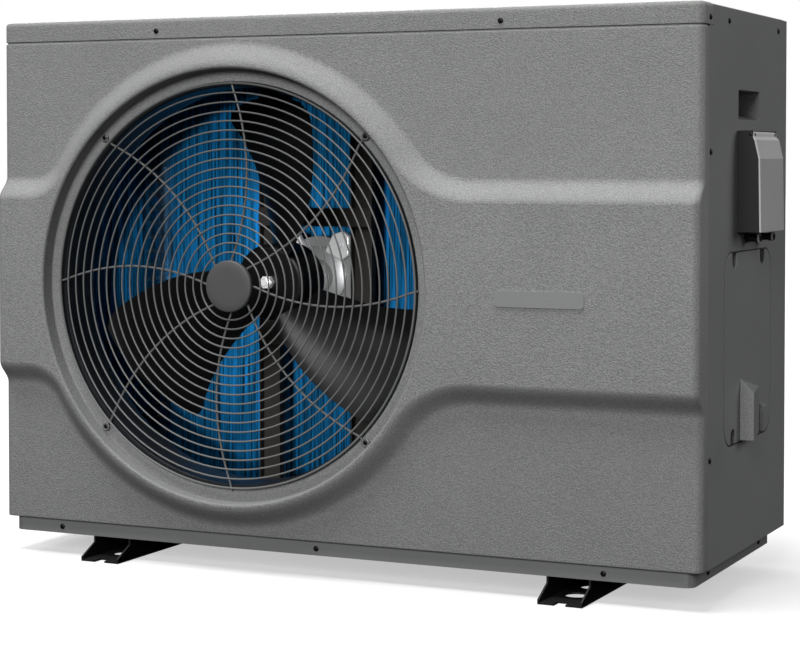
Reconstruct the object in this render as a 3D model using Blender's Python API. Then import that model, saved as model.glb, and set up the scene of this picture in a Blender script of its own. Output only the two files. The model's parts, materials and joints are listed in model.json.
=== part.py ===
"""Pool heat pump unit: casing, axial fan, refrigerant circuit and side controller.

Metres, +Z up, the front faces -Y. Every piece hangs on the empty casing_origin. In its frame x runs
from the middle of the casing, y runs back from the lower front plane, and z runs up from the floor.
"""
import math

import bmesh
import bpy
from mathutils import Matrix, Vector

# Casing
CASING_W = 1.000
CASING_D = 0.380
CASING_TOP = 0.730
PANEL_BOTTOM = 0.048
LID_LIP = 0.027
LID_EDGE_R = 0.0055
LID_TAB_END = 0.039
LID_STEP = 0.0022
CORNER_R = 0.010
FRONT_RETURN = 0.024
SHEET = 0.0015
MOULDED = 0.0020
GAP = 0.0003

# Pressed relief of the front panel: a level band joined to a circle by concave fillets
FAN_X = -0.139
FAN_Z = 0.376
BAND_HALF = 0.112
CREST_R = 0.290
FILLET_LEFT = 0.070
FILLET_RIGHT = 0.130
RELIEF = 0.019
SLOPE_STEPS = ((0.030, 0.0), (0.022, 0.0035), (0.008, 0.0155), (0.0, RELIEF))
RECESS_R = 0.285
SEAT_R = 0.283
SEAT_Y = 0.001
AIR_R = 0.268

# Grille
GRILLE_RINGS = 19
GRILLE_R = 0.266
GRILLE_INNER_R = 0.0445
WIRE = 0.0028
GRILLE_FRONT = -0.0025
GRILLE_BACK = 0.0005
SPOKES = 8
SPOKE_BOW = 0.10
SPOKE_TIP_R = 0.275
CAP_R = 0.034

# Fan and motor
FAN_TIP_R = 0.250
BLADES = 3
BLADE_START = 84.0
BLADE_SPAN = 42.0
BLADE_SWEEP = 16.0
HUB_R = 0.052
HUB_FRONT = 0.100
HUB_BACK = 0.165
SHAFT_R = 0.006
MOTOR_FRONT = 0.2488
MOTOR_BACK = 0.315
POST_SPREAD = 0.073
POST_W = 0.033

# Base
TRAY_BOTTOM = 0.029
TRAY_RIM = 0.070
TRAY_HALF = 0.488
TRAY_Y = (0.005, 0.352)
FOOT_X = 0.330
FOOT_W = 0.058
FOOT_T = 0.0025
FOOT_Y = (-0.026, 0.406)

# Right side
HAND_Y = (0.150, 0.245)
HAND_Z = (0.592, 0.628)
HAND_DEPTH = 0.043
COVER_Y = (0.091, 0.305)
COVER_Z = (0.187, 0.427)
COVER_R = 0.028
COVER_GAP = 0.0008
BOX_Y = (0.1435, 0.2540)
BOX_Z = (0.4515, 0.5780)
FLAP_AXIS = (0.5172, 0.5735)
BUTTON_Y = (0.163, 0.187, 0.211, 0.235)
BUTTON_Z = 0.470
BUTTON_R = 0.0045

# Coil and machine room
COIL_T = 0.025
COIL_REAR = 0.347
COIL_LEFT = -0.4835
COIL_FRONT = 0.035
COIL_RIGHT = 0.165
PARTITION_X = 0.190
EXCHANGER = (0.285, 0.262)
COIL_TURN_R = 0.070
COIL_TOP = 0.695
COMPRESSOR = (0.395, 0.110)
COMPRESSOR_R = 0.065
COMPRESSOR_FEET = 3
ACCUMULATOR = (0.425, 0.225)
UNION_Z = (0.160, 0.440)
UNION_END = 0.435
UNION_BORE = 0.025
UNION_HOLE_R = 0.0305
NUT_TEETH = 24
POST_TOP = 0.6995
CROSSBAR_Z = (0.291, 0.461)
CROSSBAR_HALF = 0.013
BADGE_X = (0.242, 0.358)
BADGE_Z = (0.361, 0.381)
BADGE_T = 0.0012
DRAIN = (-0.05, 0.20)
DRAIN_HOLE_R = 0.0085
ELECTRICS_Z = (0.560, 0.640)
GLAND_Y = (0.184, 0.249)
GLAND_Z = 0.443

# The box of the whole object runs from the left side to the flap's lower edge, and from the
# front of the feet to the water unions, so its middle sits here in the casing's frame.
BOX_MIDDLE_X = (-CASING_W / 2 + 0.531) / 2
BOX_MIDDLE_Y = (FOOT_Y[0] + UNION_END) / 2

X_AXIS, Y_AXIS, Z_AXIS = Vector((1, 0, 0)), Vector((0, 1, 0)), Vector((0, 0, 1))
FRONT_PLANE = Matrix(((1, 0, 0, 0), (0, 0, 1, 0), (0, 1, 0, 0), (0, 0, 0, 1)))
SIDE_PLANE = Matrix(((0, 0, 1, 0), (1, 0, 0, 0), (0, 1, 0, 0), (0, 0, 0, 1)))
PLAN_PLANE = Matrix.Identity(4)

MATERIALS = {
    "panel_grey": ((0.215, 0.222, 0.220), 0.55, 0.0),
    "side_grey": ((0.085, 0.090, 0.088), 0.55, 0.0),
    "tray_grey": ((0.180, 0.186, 0.184), 0.50, 0.0),
    "foot_black": ((0.012, 0.012, 0.012), 0.45, 0.0),
    "wire_coat": ((0.120, 0.122, 0.120), 0.40, 0.0),
    "cap_grey": ((0.080, 0.081, 0.080), 0.50, 0.0),
    "black_plastic": ((0.014, 0.014, 0.015), 0.35, 0.0),
    "flap_grey": ((0.210, 0.210, 0.210), 0.45, 0.0),
    "steel": ((0.620, 0.620, 0.610), 0.30, 1.0),
    "cast_alloy": ((0.680, 0.690, 0.700), 0.35, 1.0),
    "post_brown": ((0.060, 0.055, 0.050), 0.55, 0.0),
    "fin_blue": ((0.010, 0.150, 0.420), 0.40, 0.3),
    "copper": ((0.720, 0.330, 0.180), 0.30, 1.0),
    "brass": ((0.700, 0.520, 0.250), 0.30, 1.0),
    "rubber": ((0.020, 0.020, 0.020), 0.80, 0.0),
    "pvc_white": ((0.700, 0.700, 0.680), 0.40, 0.0),
    "board_green": ((0.030, 0.200, 0.070), 0.50, 0.0),
    "badge_silver": ((0.700, 0.710, 0.720), 0.30, 1.0),
}


def clear_scene():
    for old in list(bpy.data.objects):
        bpy.data.objects.remove(old, do_unlink=True)


def material(name):
    found = bpy.data.materials.get(name)
    if found:
        return found
    colour, roughness, metallic = MATERIALS[name]
    made = bpy.data.materials.new(name)
    made.use_nodes = True
    shader = made.node_tree.nodes["Principled BSDF"]
    shader.inputs["Base Color"].default_value = (*colour, 1.0)
    shader.inputs["Roughness"].default_value = roughness
    shader.inputs["Metallic"].default_value = metallic
    return made


def place(name, data, finish, parent, location=(0, 0, 0)):
    piece = bpy.data.objects.new(name, data)
    bpy.context.scene.collection.objects.link(piece)
    piece.data.materials.append(material(finish))
    piece.parent = parent
    piece.location = location
    return piece


def empty(name, location, parent=None):
    guide = bpy.data.objects.new(name, None)
    bpy.context.scene.collection.objects.link(guide)
    guide.parent = parent
    guide.location = location
    return guide


def solid(name, bm, finish, parent, location=(0, 0, 0), smooth=30):
    """A closed mesh with its faces turned outwards, shaded smooth below the given angle."""
    bmesh.ops.recalc_face_normals(bm, faces=bm.faces)
    mesh = bpy.data.meshes.new(name)
    bm.to_mesh(mesh)
    bm.free()
    mesh.shade_smooth()
    mesh.set_sharp_from_angle(angle=math.radians(smooth))
    return place(name, mesh, finish, parent, location)


def sheet(name, bm, finish, parent, outside, thickness=SHEET):
    """An open surface thickened inwards. outside is the way its outermost face looks."""
    bmesh.ops.recalc_face_normals(bm, faces=bm.faces)
    outermost = max(bm.faces, key=lambda face: face.calc_center_median().dot(outside)
                    + 0.01 * abs(face.normal.dot(outside)))
    if outermost.normal.dot(outside) < 0:
        bmesh.ops.reverse_faces(bm, faces=bm.faces)
    mesh = bpy.data.meshes.new(name)
    bm.to_mesh(mesh)
    bm.free()
    mesh.shade_smooth()
    mesh.set_sharp_from_angle(angle=math.radians(30))
    piece = place(name, mesh, finish, parent)
    shell = piece.modifiers.new("shell", 'SOLIDIFY')
    shell.thickness = thickness
    shell.offset = -1
    shell.use_even_offset = True
    return piece


def boolean(piece, operation, tool):
    step = piece.modifiers.new(operation.lower(), 'BOOLEAN')
    step.operation = operation
    step.solver = 'EXACT'
    step.object = tool
    tool.hide_render = True
    tool.display_type = 'WIRE'


def arc(centre, radius, start, end, steps):
    """Points of an arc, both ends included. Angles are in degrees."""
    points = []
    for index in range(steps + 1):
        angle = math.radians(start + (end - start) * index / steps)
        points.append((centre[0] + radius * math.cos(angle), centre[1] + radius * math.sin(angle)))
    return points


def circle(centre, radius, segments):
    return arc(centre, radius, 0, 360 - 360 / segments, segments - 1)


def rounded(low, high, radius, steps=4):
    corners = (((high[0] - radius, high[1] - radius), 0), ((low[0] + radius, high[1] - radius), 90),
               ((low[0] + radius, low[1] + radius), 180), ((high[0] - radius, low[1] + radius), 270))
    points = []
    for centre, start in corners:
        points += arc(centre, radius, start, start + 90, steps)
    return points


def flat_face(bm, plane, outline, holes=(), level=0.0):
    """Fill an outline, less its holes, on a plane. Returns the loops of corner points."""
    loops = []
    for loop in (outline, *holes):
        loops.append([bm.verts.new(plane @ Vector((u, v, level))) for u, v in loop])
    edges = []
    for corners in loops:
        for index, corner in enumerate(corners):
            edges.append(bm.edges.new((corner, corners[(index + 1) % len(corners)])))
    if holes:
        bmesh.ops.triangle_fill(bm, use_beauty=True, edges=edges, normal=plane.to_3x3() @ Z_AXIS)
    else:
        bm.faces.new(loops[0])
    return loops


def plate_mesh(plane, outline, holes, low, high):
    """A flat plate between two levels of a plane."""
    bm = bmesh.new()
    flat_face(bm, plane, outline, holes, low)
    grown = bmesh.ops.extrude_face_region(bm, geom=list(bm.faces))
    lifted = [item for item in grown["geom"] if isinstance(item, bmesh.types.BMVert)]
    bmesh.ops.translate(bm, verts=lifted, vec=plane.to_3x3() @ Vector((0, 0, high - low)))
    return bm


def plate(name, plane, outline, holes, low, high, finish, parent):
    return solid(name, plate_mesh(plane, outline, holes, low, high), finish, parent)


def block(name, low, high, finish, parent):
    outline = [(low[0], low[1]), (high[0], low[1]), (high[0], high[1]), (low[0], high[1])]
    return plate(name, PLAN_PLANE, outline, (), low[2], high[2], finish, parent)


def turned(name, profile, centre, axis, segments, finish, parent, bored=False):
    """Turn (radius, height) points about an axis. A bored profile is closed and clears the axis."""
    bm = bmesh.new()
    turn = Z_AXIS.rotation_difference(axis).to_matrix()
    rings = []
    for radius, height in profile:
        if radius == 0:
            rings.append([bm.verts.new(turn @ Vector((0, 0, height)))])
            continue
        ring = []
        for x, y in circle((0, 0), radius, segments):
            ring.append(bm.verts.new(turn @ Vector((x, y, height))))
        rings.append(ring)
    pairs = list(zip(rings, rings[1:]))
    if bored:
        pairs.append((rings[-1], rings[0]))
    for near, far in pairs:
        for index in range(segments):
            after = (index + 1) % segments
            if len(near) == 1:
                bm.faces.new((near[0], far[index], far[after]))
            elif len(far) == 1:
                bm.faces.new((near[index], far[0], near[after]))
            else:
                bm.faces.new((near[index], far[index], far[after], near[after]))
    return solid(name, bm, finish, parent, centre)


def rod(name, radius, start, length, axis, segments, finish, parent):
    profile = [(0, 0), (radius, 0), (radius, length), (0, length)]
    return turned(name, profile, start, axis, segments, finish, parent)


def pipe(name, points, radius, finish, parent, per_bend=4):
    """A round tube along a smooth curve through its route points."""
    smooth = []
    count = len(points)
    for index in range(count - 1):
        before = Vector(points[max(index - 1, 0)])
        start, end = Vector(points[index]), Vector(points[index + 1])
        after = Vector(points[min(index + 2, count - 1)])
        for step in range(per_bend):
            t = step / per_bend
            smooth.append(0.5 * ((2 * start) + (end - before) * t
                          + (2 * before - 5 * start + 4 * end - after) * t ** 2
                          + (3 * start - before - 3 * end + after) * t ** 3))
    smooth.append(Vector(points[-1]))
    curve = bpy.data.curves.new(name, 'CURVE')
    curve.dimensions = '3D'
    curve.bevel_depth = radius
    curve.bevel_resolution = 2
    curve.use_fill_caps = True
    spline = curve.splines.new('POLY')
    spline.points.add(len(smooth) - 1)
    for point, spot in zip(spline.points, smooth):
        point.co = (*spot, 1)
    return place(name, curve, finish, parent)


# ---------------------------------------------------------------- base


def base_tray(parent):
    bm = bmesh.new()
    outline = rounded((-TRAY_HALF, TRAY_Y[0]), (TRAY_HALF, TRAY_Y[1]), 0.012, 3)
    drain = circle(DRAIN, DRAIN_HOLE_R, 16)
    floor = flat_face(bm, PLAN_PLANE, outline, [drain], TRAY_BOTTOM)[0]
    rim = [bm.verts.new((*corner.co.xy, TRAY_RIM)) for corner in floor]
    bridge(bm, floor, rim)
    sheet("base_tray", bm, "tray_grey", parent, -Z_AXIS)


def bridge(bm, near, far, closed=True):
    for index in range(len(near) if closed else len(near) - 1):
        after = (index + 1) % len(near)
        bm.faces.new((near[index], near[after], far[after], far[index]))


def foot(name, middle, parent):
    """A channel folded from sheet, with slanted ends, a front notch and drain holes."""
    bm = bmesh.new()
    half = FOOT_W / 2
    notch_half, notch_depth = 0.0075, 0.016
    front, back = FOOT_Y
    rear_mirror = front + back
    outline = [(middle - half, front), (middle - notch_half, front),
               (middle - notch_half, front + notch_depth), (middle + notch_half, front + notch_depth),
               (middle + notch_half, front), (middle + half, front), (middle + half, back),
               (middle + notch_half, back), (middle + notch_half, back - notch_depth),
               (middle - notch_half, back - notch_depth), (middle - notch_half, back),
               (middle - half, back)]
    holes = []
    for y in (0.036, 0.092):
        holes.append(circle((middle, y), 0.016, 14))
        holes.append(circle((middle, rear_mirror - y), 0.016, 14))
    floor = flat_face(bm, PLAN_PLANE, outline, holes)[0]
    top = TRAY_BOTTOM - GAP
    for start, end in ((floor[0], floor[11]), (floor[5], floor[6])):
        x = start.co.x
        upper = [(front, 0.006), (0.005, 0.021), (0.005, top),
                 (rear_mirror - 0.005, top), (rear_mirror - 0.005, 0.021), (back, 0.006)]
        wall = [start] + [bm.verts.new((x, y, z)) for y, z in upper] + [end]
        bm.faces.new(wall)
    sheet(name, bm, "foot_black", parent, -Z_AXIS, FOOT_T)


def drain_nipple(parent):
    flange_low = TRAY_BOTTOM + SHEET + GAP
    profile = [(0.006, 0.006), (0.008, 0.006), (0.008, flange_low), (0.014, flange_low),
               (0.014, flange_low + 0.002), (0.006, flange_low + 0.002)]
    turned("drain_nipple", profile, (*DRAIN, 0), Z_AXIS, 16, "black_plastic", parent, bored=True)


# ---------------------------------------------------------------- casing


def relief_contour(offset, side):
    """Half of the raised outline moved out by offset: side 1 is above the middle, -1 below."""
    half = BAND_HALF + offset
    radius = CREST_R + offset
    spread_left = math.sqrt((CREST_R + FILLET_LEFT) ** 2 - (BAND_HALF + FILLET_LEFT) ** 2)
    spread_right = math.sqrt((CREST_R + FILLET_RIGHT) ** 2 - (BAND_HALF + FILLET_RIGHT) ** 2)
    left = (FAN_X - spread_left, BAND_HALF + FILLET_LEFT)
    right = (FAN_X + spread_right, BAND_HALF + FILLET_RIGHT)
    angle_left = math.degrees(math.atan2(left[1], -spread_left))
    angle_right = math.degrees(math.atan2(right[1], spread_right))
    edge = CASING_W / 2 - CORNER_R
    points = [(-edge, half)]
    points += arc(left, FILLET_LEFT - offset, 270, 180 + angle_left, 5)
    points += arc((FAN_X, 0), radius, angle_left, angle_right, 22)[1:-1]
    points += arc(right, FILLET_RIGHT - offset, 180 + angle_right, 270, 6)
    points.append((edge, half))
    return [(x, FAN_Z + side * z) for x, z in points]


def corner_run(side, front, setback=0.0):
    """Plan points that turn the panel's corner, from the front face back to its side edge."""
    edge = CASING_W / 2 - CORNER_R
    radius = CORNER_R - setback
    points = []
    for degrees in (30, 60, 90):
        angle = math.radians(degrees)
        points.append((side * (edge + radius * math.sin(angle)),
                       front + CORNER_R - radius * math.cos(angle)))
    points.append((side * (edge + radius), FRONT_RETURN))
    return points


def front_panel(parent):
    bm = bmesh.new()
    edge = CASING_W / 2 - CORNER_R
    seam = CASING_TOP - LID_LIP - GAP

    def row(points, y):
        return [bm.verts.new((x, y, z)) for x, z in points]

    def wings(verts, y, setback=0.0):
        level = verts[0].co.z
        left = [bm.verts.new((*spot, level)) for spot in corner_run(-1, y, setback)]
        right = [bm.verts.new((*spot, level)) for spot in corner_run(1, y, setback)]
        return [verts[0]] + left, [verts[-1]] + right

    slopes = {}
    for side in (1, -1):
        slopes[side] = [(row(relief_contour(offset, side), -depth), -depth)
                        for offset, depth in SLOPE_STEPS]
    hem = row([(-edge, seam + 0.019), (edge, seam + 0.019)], LID_STEP)
    tuck = row([(-edge, seam), (edge, seam)], LID_STEP)
    top = row([(-edge, seam), (edge, seam)], 0)
    bottom = row([(-edge, PANEL_BOTTOM), (edge, PANEL_BOTTOM)], 0)
    middle = row([(-edge, FAN_Z), (edge, FAN_Z)], -RELIEF)

    stack = [wings(hem, 0, LID_STEP), wings(tuck, 0, LID_STEP), wings(top, 0)]
    stack += [wings(verts, y) for verts, y in slopes[1]]
    stack.append(wings(middle, -RELIEF))
    stack += [wings(verts, y) for verts, y in reversed(slopes[-1])]
    stack.append(wings(bottom, 0))
    for upper, lower in zip(stack, stack[1:]):
        bridge(bm, upper[0], lower[0], closed=False)
        bridge(bm, upper[1], lower[1], closed=False)

    bm.faces.new((hem[0], hem[1], tuck[1], tuck[0]))
    bm.faces.new((tuck[0], tuck[1], top[1], top[0]))
    bm.faces.new([top[0], top[1]] + slopes[1][0][0][::-1])
    bm.faces.new([bottom[0], bottom[1]] + slopes[-1][0][0][::-1])
    for side in (1, -1):
        for (outer, _), (inner, _) in zip(slopes[side], slopes[side][1:]):
            bridge(bm, outer, inner, closed=False)

    segments = 48
    rings = []
    for radius, y in ((RECESS_R, -RELIEF), (SEAT_R, SEAT_Y), (AIR_R, SEAT_Y)):
        spots = circle((FAN_X, FAN_Z), radius, segments)
        rings.append([bm.verts.new((x, y, z)) for x, z in spots])
    bridge(bm, rings[0], rings[1])
    bridge(bm, rings[1], rings[2])
    rim = rings[0]
    upper_rim = rim[:segments // 2 + 1]
    lower_rim = [rim[0]] + rim[:segments // 2 - 1:-1]
    for side, half_rim in ((1, upper_rim), (-1, lower_rim)):
        crest = slopes[side][-1][0]
        bm.faces.new(crest + [middle[1]] + half_rim + [middle[0]])
    sheet("front_panel", bm, "panel_grey", parent, -Y_AXIS, MOULDED)


def lid_outline(inset):
    """Plan outline of the top cover: full width round the front tabs, stepped in behind them."""
    edge = CASING_W / 2
    tuck = edge - LID_STEP - inset
    radius = CORNER_R - inset
    points = arc((-edge + CORNER_R, CORNER_R), radius, 180, 270, 4)
    points += arc((edge - CORNER_R, CORNER_R), radius, 270, 360, 4)
    points += [(edge - inset, LID_TAB_END), (tuck, LID_TAB_END), (tuck, CASING_D - inset)]
    points += [(-tuck, CASING_D - inset), (-tuck, LID_TAB_END), (-edge + inset, LID_TAB_END)]
    return points


def top_cover(parent):
    bm = bmesh.new()
    rings = []
    steps = ((0.0, CASING_TOP - LID_LIP), (0.0, CASING_TOP - LID_EDGE_R),
             (LID_EDGE_R * 0.3, CASING_TOP - LID_EDGE_R * 0.3), (LID_EDGE_R, CASING_TOP))
    for inset, z in steps:
        rings.append([bm.verts.new((x, y, z)) for x, y in lid_outline(inset)])
    for lower, upper in zip(rings, rings[1:]):
        bridge(bm, lower, upper)
    bm.faces.new(rings[-1])
    sheet("top_cover", bm, "panel_grey", parent, Z_AXIS)


def right_side_panel(parent):
    bm = bmesh.new()
    face = CASING_W / 2
    top = CASING_TOP - 0.0025
    outline = [(FRONT_RETURN + GAP, PANEL_BOTTOM), (LID_TAB_END + GAP, PANEL_BOTTOM),
               (CASING_D, PANEL_BOTTOM), (CASING_D, top), (LID_TAB_END + GAP, top),
               (LID_TAB_END + GAP, CASING_TOP - LID_LIP - GAP),
               (FRONT_RETURN + GAP, CASING_TOP - LID_LIP - GAP)]
    service = rounded((COVER_Y[0] - COVER_GAP, COVER_Z[0] - COVER_GAP),
                      (COVER_Y[1] + COVER_GAP, COVER_Z[1] + COVER_GAP), COVER_R, 5)
    mouth = [(HAND_Y[0], HAND_Z[0]), (HAND_Y[1], HAND_Z[0]),
             (HAND_Y[1], HAND_Z[1]), (HAND_Y[0], HAND_Z[1])]
    loops = flat_face(bm, SIDE_PLANE, outline, [service, mouth], face)
    rise, taper = 0.011, 0.002
    inner = [(HAND_Y[0] + taper, HAND_Z[0] + rise), (HAND_Y[1] - taper, HAND_Z[0] + rise),
             (HAND_Y[1] - taper, HAND_Z[1] - 0.001), (HAND_Y[0] + taper, HAND_Z[1] - 0.001)]
    back = [bm.verts.new((face - HAND_DEPTH, y, z)) for y, z in inner]
    bridge(bm, loops[2], back)
    bm.faces.new(back)
    sheet("right_side_panel", bm, "side_grey", parent, X_AXIS)


def lattice_mesh(plane, u_bars, v_bars, low, high):
    """A flat guard of crossing bars. Each bar is a (start, end) pair along its own axis."""
    bm = bmesh.new()
    us = sorted(value for bar in u_bars for value in bar)
    vs = sorted(value for bar in v_bars for value in bar)
    grid = {}
    for i, u in enumerate(us):
        for j, v in enumerate(vs):
            grid[i, j] = bm.verts.new(plane @ Vector((u, v, low)))
    for i in range(len(us) - 1):
        for j in range(len(vs) - 1):
            if i % 2 == 0 or j % 2 == 0:
                bm.faces.new((grid[i, j], grid[i + 1, j], grid[i + 1, j + 1], grid[i, j + 1]))
    grown = bmesh.ops.extrude_face_region(bm, geom=list(bm.faces))
    lifted = [item for item in grown["geom"] if isinstance(item, bmesh.types.BMVert)]
    bmesh.ops.translate(bm, verts=lifted, vec=plane.to_3x3() @ Vector((0, 0, high - low)))
    return bm


def bars(start, end, count, border, width):
    """Bars across a span: a wide border at each end and even narrow bars between."""
    spans = [(start, start + border)]
    step = (end - start - 2 * border) / (count + 1)
    for index in range(count):
        middle = start + border + step * (index + 1)
        spans.append((middle - width / 2, middle + width / 2))
    spans.append((end - border, end))
    return spans


def coil_guards(parent):
    face = CASING_W / 2
    side_top = CASING_TOP - LID_LIP - GAP
    across = bars(FRONT_RETURN + GAP, CASING_D, 4, 0.028, 0.005)
    upright = bars(PANEL_BOTTOM, side_top, 7, 0.030, 0.005)
    bm = lattice_mesh(SIDE_PLANE, across, upright, -face, -face + MOULDED)
    solid("left_coil_guard", bm, "side_grey", parent)
    left = -face + MOULDED + GAP
    across = bars(left, PARTITION_X + 0.009, 8, 0.022, 0.005)
    bm = lattice_mesh(FRONT_PLANE, across, upright, CASING_D - MOULDED, CASING_D)
    solid("rear_coil_guard", bm, "side_grey", parent)


def rear_service_panel(parent):
    low = (PARTITION_X + 0.010, PANEL_BOTTOM)
    high = (CASING_W / 2 - SHEET - GAP, CASING_TOP - LID_LIP - GAP)
    outline = [low, (high[0], low[1]), high, (low[0], high[1])]
    holes = [circle((EXCHANGER[0], z), UNION_HOLE_R, 20) for z in UNION_Z]
    plate("rear_service_panel", FRONT_PLANE, outline, holes, CASING_D - SHEET, CASING_D,
          "side_grey", parent)


def partition_plate(parent):
    floor = TRAY_BOTTOM + SHEET + GAP
    inside_rim = TRAY_Y[1] - SHEET - GAP
    rear = CASING_D - MOULDED - GAP
    outline = [(0.022, floor), (inside_rim, floor), (inside_rim, TRAY_RIM + GAP),
               (rear, TRAY_RIM + GAP), (rear, 0.700), (0.022, 0.700)]
    hole = circle((0.314, 0.345), 0.0105, 12)
    plate("partition_plate", SIDE_PLANE, outline, [hole], PARTITION_X, PARTITION_X + SHEET,
          "steel", parent)


def blank_badge(parent):
    outline = rounded((BADGE_X[0], BADGE_Z[0]), (BADGE_X[1], BADGE_Z[1]), 0.004, 3)
    seat = -RELIEF - GAP
    plate("blank_badge", FRONT_PLANE, outline, (), seat - BADGE_T, seat, "badge_silver", parent)


# ---------------------------------------------------------------- grille, fan and motor


def spoke_angle(index, radius):
    """Angle of a spoke at a radius: the spokes bow clockwise between the hub and the rim."""
    reach = min(max((radius - CAP_R) / (GRILLE_R - CAP_R), 0), 1)
    bow = SPOKE_BOW * 4 * reach * (1 - reach) * (GRILLE_R - CAP_R)
    return 2 * math.pi * index / SPOKES - bow / radius


def fan_grille(parent):
    """Flat rings and bowed spokes on a polar grid: each sector has two spoke edges and one step."""
    bm = bmesh.new()
    pitch = (GRILLE_R - GRILLE_INNER_R) / (GRILLE_RINGS - 1)
    radii = [0.016, 0.030]
    for index in range(GRILLE_RINGS):
        middle = GRILLE_INNER_R + pitch * index
        radii += [middle - WIRE / 2, middle + WIRE / 2]
    rows = []
    for radius in radii:
        row = []
        for spoke in range(SPOKES):
            angle = spoke_angle(spoke, radius)
            edge = math.asin(WIRE / 2 / radius)
            between = angle + math.pi / SPOKES
            for spot in (angle - edge, angle + edge, between):
                row.append(bm.verts.new((FAN_X + radius * math.cos(spot), GRILLE_FRONT,
                                         FAN_Z + radius * math.sin(spot))))
        rows.append(row)
    count = len(rows[0])
    for level, (inner, outer) in enumerate(zip(rows, rows[1:])):
        ring_band = level % 2 == 0
        for index in range(count):
            if ring_band or index % 3 == 0:
                after = (index + 1) % count
                bm.faces.new((inner[index], inner[after], outer[after], outer[index]))
    for spoke in range(1, SPOKES, 2):
        angle = spoke_angle(spoke, SPOKE_TIP_R)
        edge = math.asin(WIRE / 2 / SPOKE_TIP_R)
        tips = [bm.verts.new((FAN_X + SPOKE_TIP_R * math.cos(angle + turn), GRILLE_FRONT,
                              FAN_Z + SPOKE_TIP_R * math.sin(angle + turn))) for turn in (-edge, edge)]
        bm.faces.new((rows[-1][spoke * 3], rows[-1][spoke * 3 + 1], tips[1], tips[0]))
    grown = bmesh.ops.extrude_face_region(bm, geom=list(bm.faces))
    lifted = [item for item in grown["geom"] if isinstance(item, bmesh.types.BMVert)]
    bmesh.ops.translate(bm, verts=lifted, vec=Vector((0, GRILLE_BACK - GRILLE_FRONT, 0)))
    solid("fan_grille", bm, "wire_coat", parent)


def grille_cap(parent):
    back = GRILLE_FRONT - GAP
    profile = [(0, 0), (CAP_R, 0), (CAP_R, 0.0075), (CAP_R - 0.0015, 0.009), (0, 0.009)]
    turned("grille_cap", profile, (FAN_X, back, FAN_Z), -Y_AXIS, 32, "cap_grey", parent)


def fan_shroud(parent):
    inner, outer = 0.262, 0.2645
    front = SEAT_Y + MOULDED + GAP
    profile = [(inner, 0), (0.2815, 0), (0.2815, 0.0025), (outer + 0.001, 0.0025), (outer, 0.060),
               (outer + 0.012, 0.078), (outer + 0.010, 0.079), (inner, 0.062)]
    turned("fan_shroud", profile, (FAN_X, front, FAN_Z), Y_AXIS, 40, "black_plastic", parent, bored=True)


def blade_tool(name, middle, parent):
    """One wide sickle blade: a cambered sheet swept round the hub and pitched along the axis."""
    bm = bmesh.new()
    root = HUB_R - 0.006
    radial, chord = 6, 6
    front, back = {}, {}
    for i in range(radial + 1):
        s = i / radial
        radius = root + (FAN_TIP_R - root) * s
        span = BLADE_SPAN + 22 * (1 - s) ** 2
        for j in range(chord + 1):
            t = j / chord - 0.5
            angle = math.radians(middle + BLADE_SWEEP * (s ** 1.4 - 0.4) + span * t)
            rise = 0.5 * (HUB_FRONT + HUB_BACK) - 0.014 + (0.055 + 0.035 * s) * t
            camber = 0.012 * (1 - 4 * t * t)
            half = 0.0013
            x, z = radius * math.cos(angle), radius * math.sin(angle)
            front[i, j] = bm.verts.new((x, rise - camber - half, z))
            back[i, j] = bm.verts.new((x, rise - camber + half, z))
    for i in range(radial):
        for j in range(chord):
            bm.faces.new((front[i, j], front[i + 1, j], front[i + 1, j + 1], front[i, j + 1]))
            bm.faces.new((back[i, j], back[i, j + 1], back[i + 1, j + 1], back[i + 1, j]))
    edge = [(i, 0) for i in range(radial)] + [(radial, j) for j in range(chord)]
    edge += [(i, chord) for i in range(radial, 0, -1)] + [(0, j) for j in range(chord, 0, -1)]
    for index, spot in enumerate(edge):
        after = edge[(index + 1) % len(edge)]
        bm.faces.new((front[spot], back[spot], back[after], front[after]))
    return solid(name, bm, "black_plastic", parent)


def fan(parent):
    axis = empty("fan_axis", (FAN_X, 0, FAN_Z), parent)
    bore = SHAFT_R + GAP
    profile = [(bore, HUB_FRONT), (HUB_R - 0.006, HUB_FRONT), (HUB_R, HUB_FRONT + 0.006),
               (HUB_R, HUB_BACK), (HUB_R - 0.004, HUB_BACK), (HUB_R - 0.005, HUB_FRONT + 0.012),
               (0.016, HUB_FRONT + 0.010), (0.014, HUB_BACK), (bore, HUB_BACK)]
    rotor = turned("fan_rotor", profile, (0, 0, 0), Y_AXIS, 28, "black_plastic", axis, bored=True)
    for index in range(BLADES):
        tool = blade_tool(f"blade_tool_{index}", BLADE_START + 360 / BLADES * index, axis)
        boolean(rotor, 'UNION', tool)
    flats = circle((0, 0), 0.0095, 6)
    nut = plate_mesh(FRONT_PLANE, flats, [circle((0, 0), bore, 12)],
                     HUB_FRONT - 0.010 - GAP, HUB_FRONT - GAP)
    solid("fan_nut", nut, "steel", axis)
    rod("motor_shaft", SHAFT_R, (0, 0.085, 0), MOTOR_FRONT + 0.0125 - 0.085, Y_AXIS, 12, "steel", axis)


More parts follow.
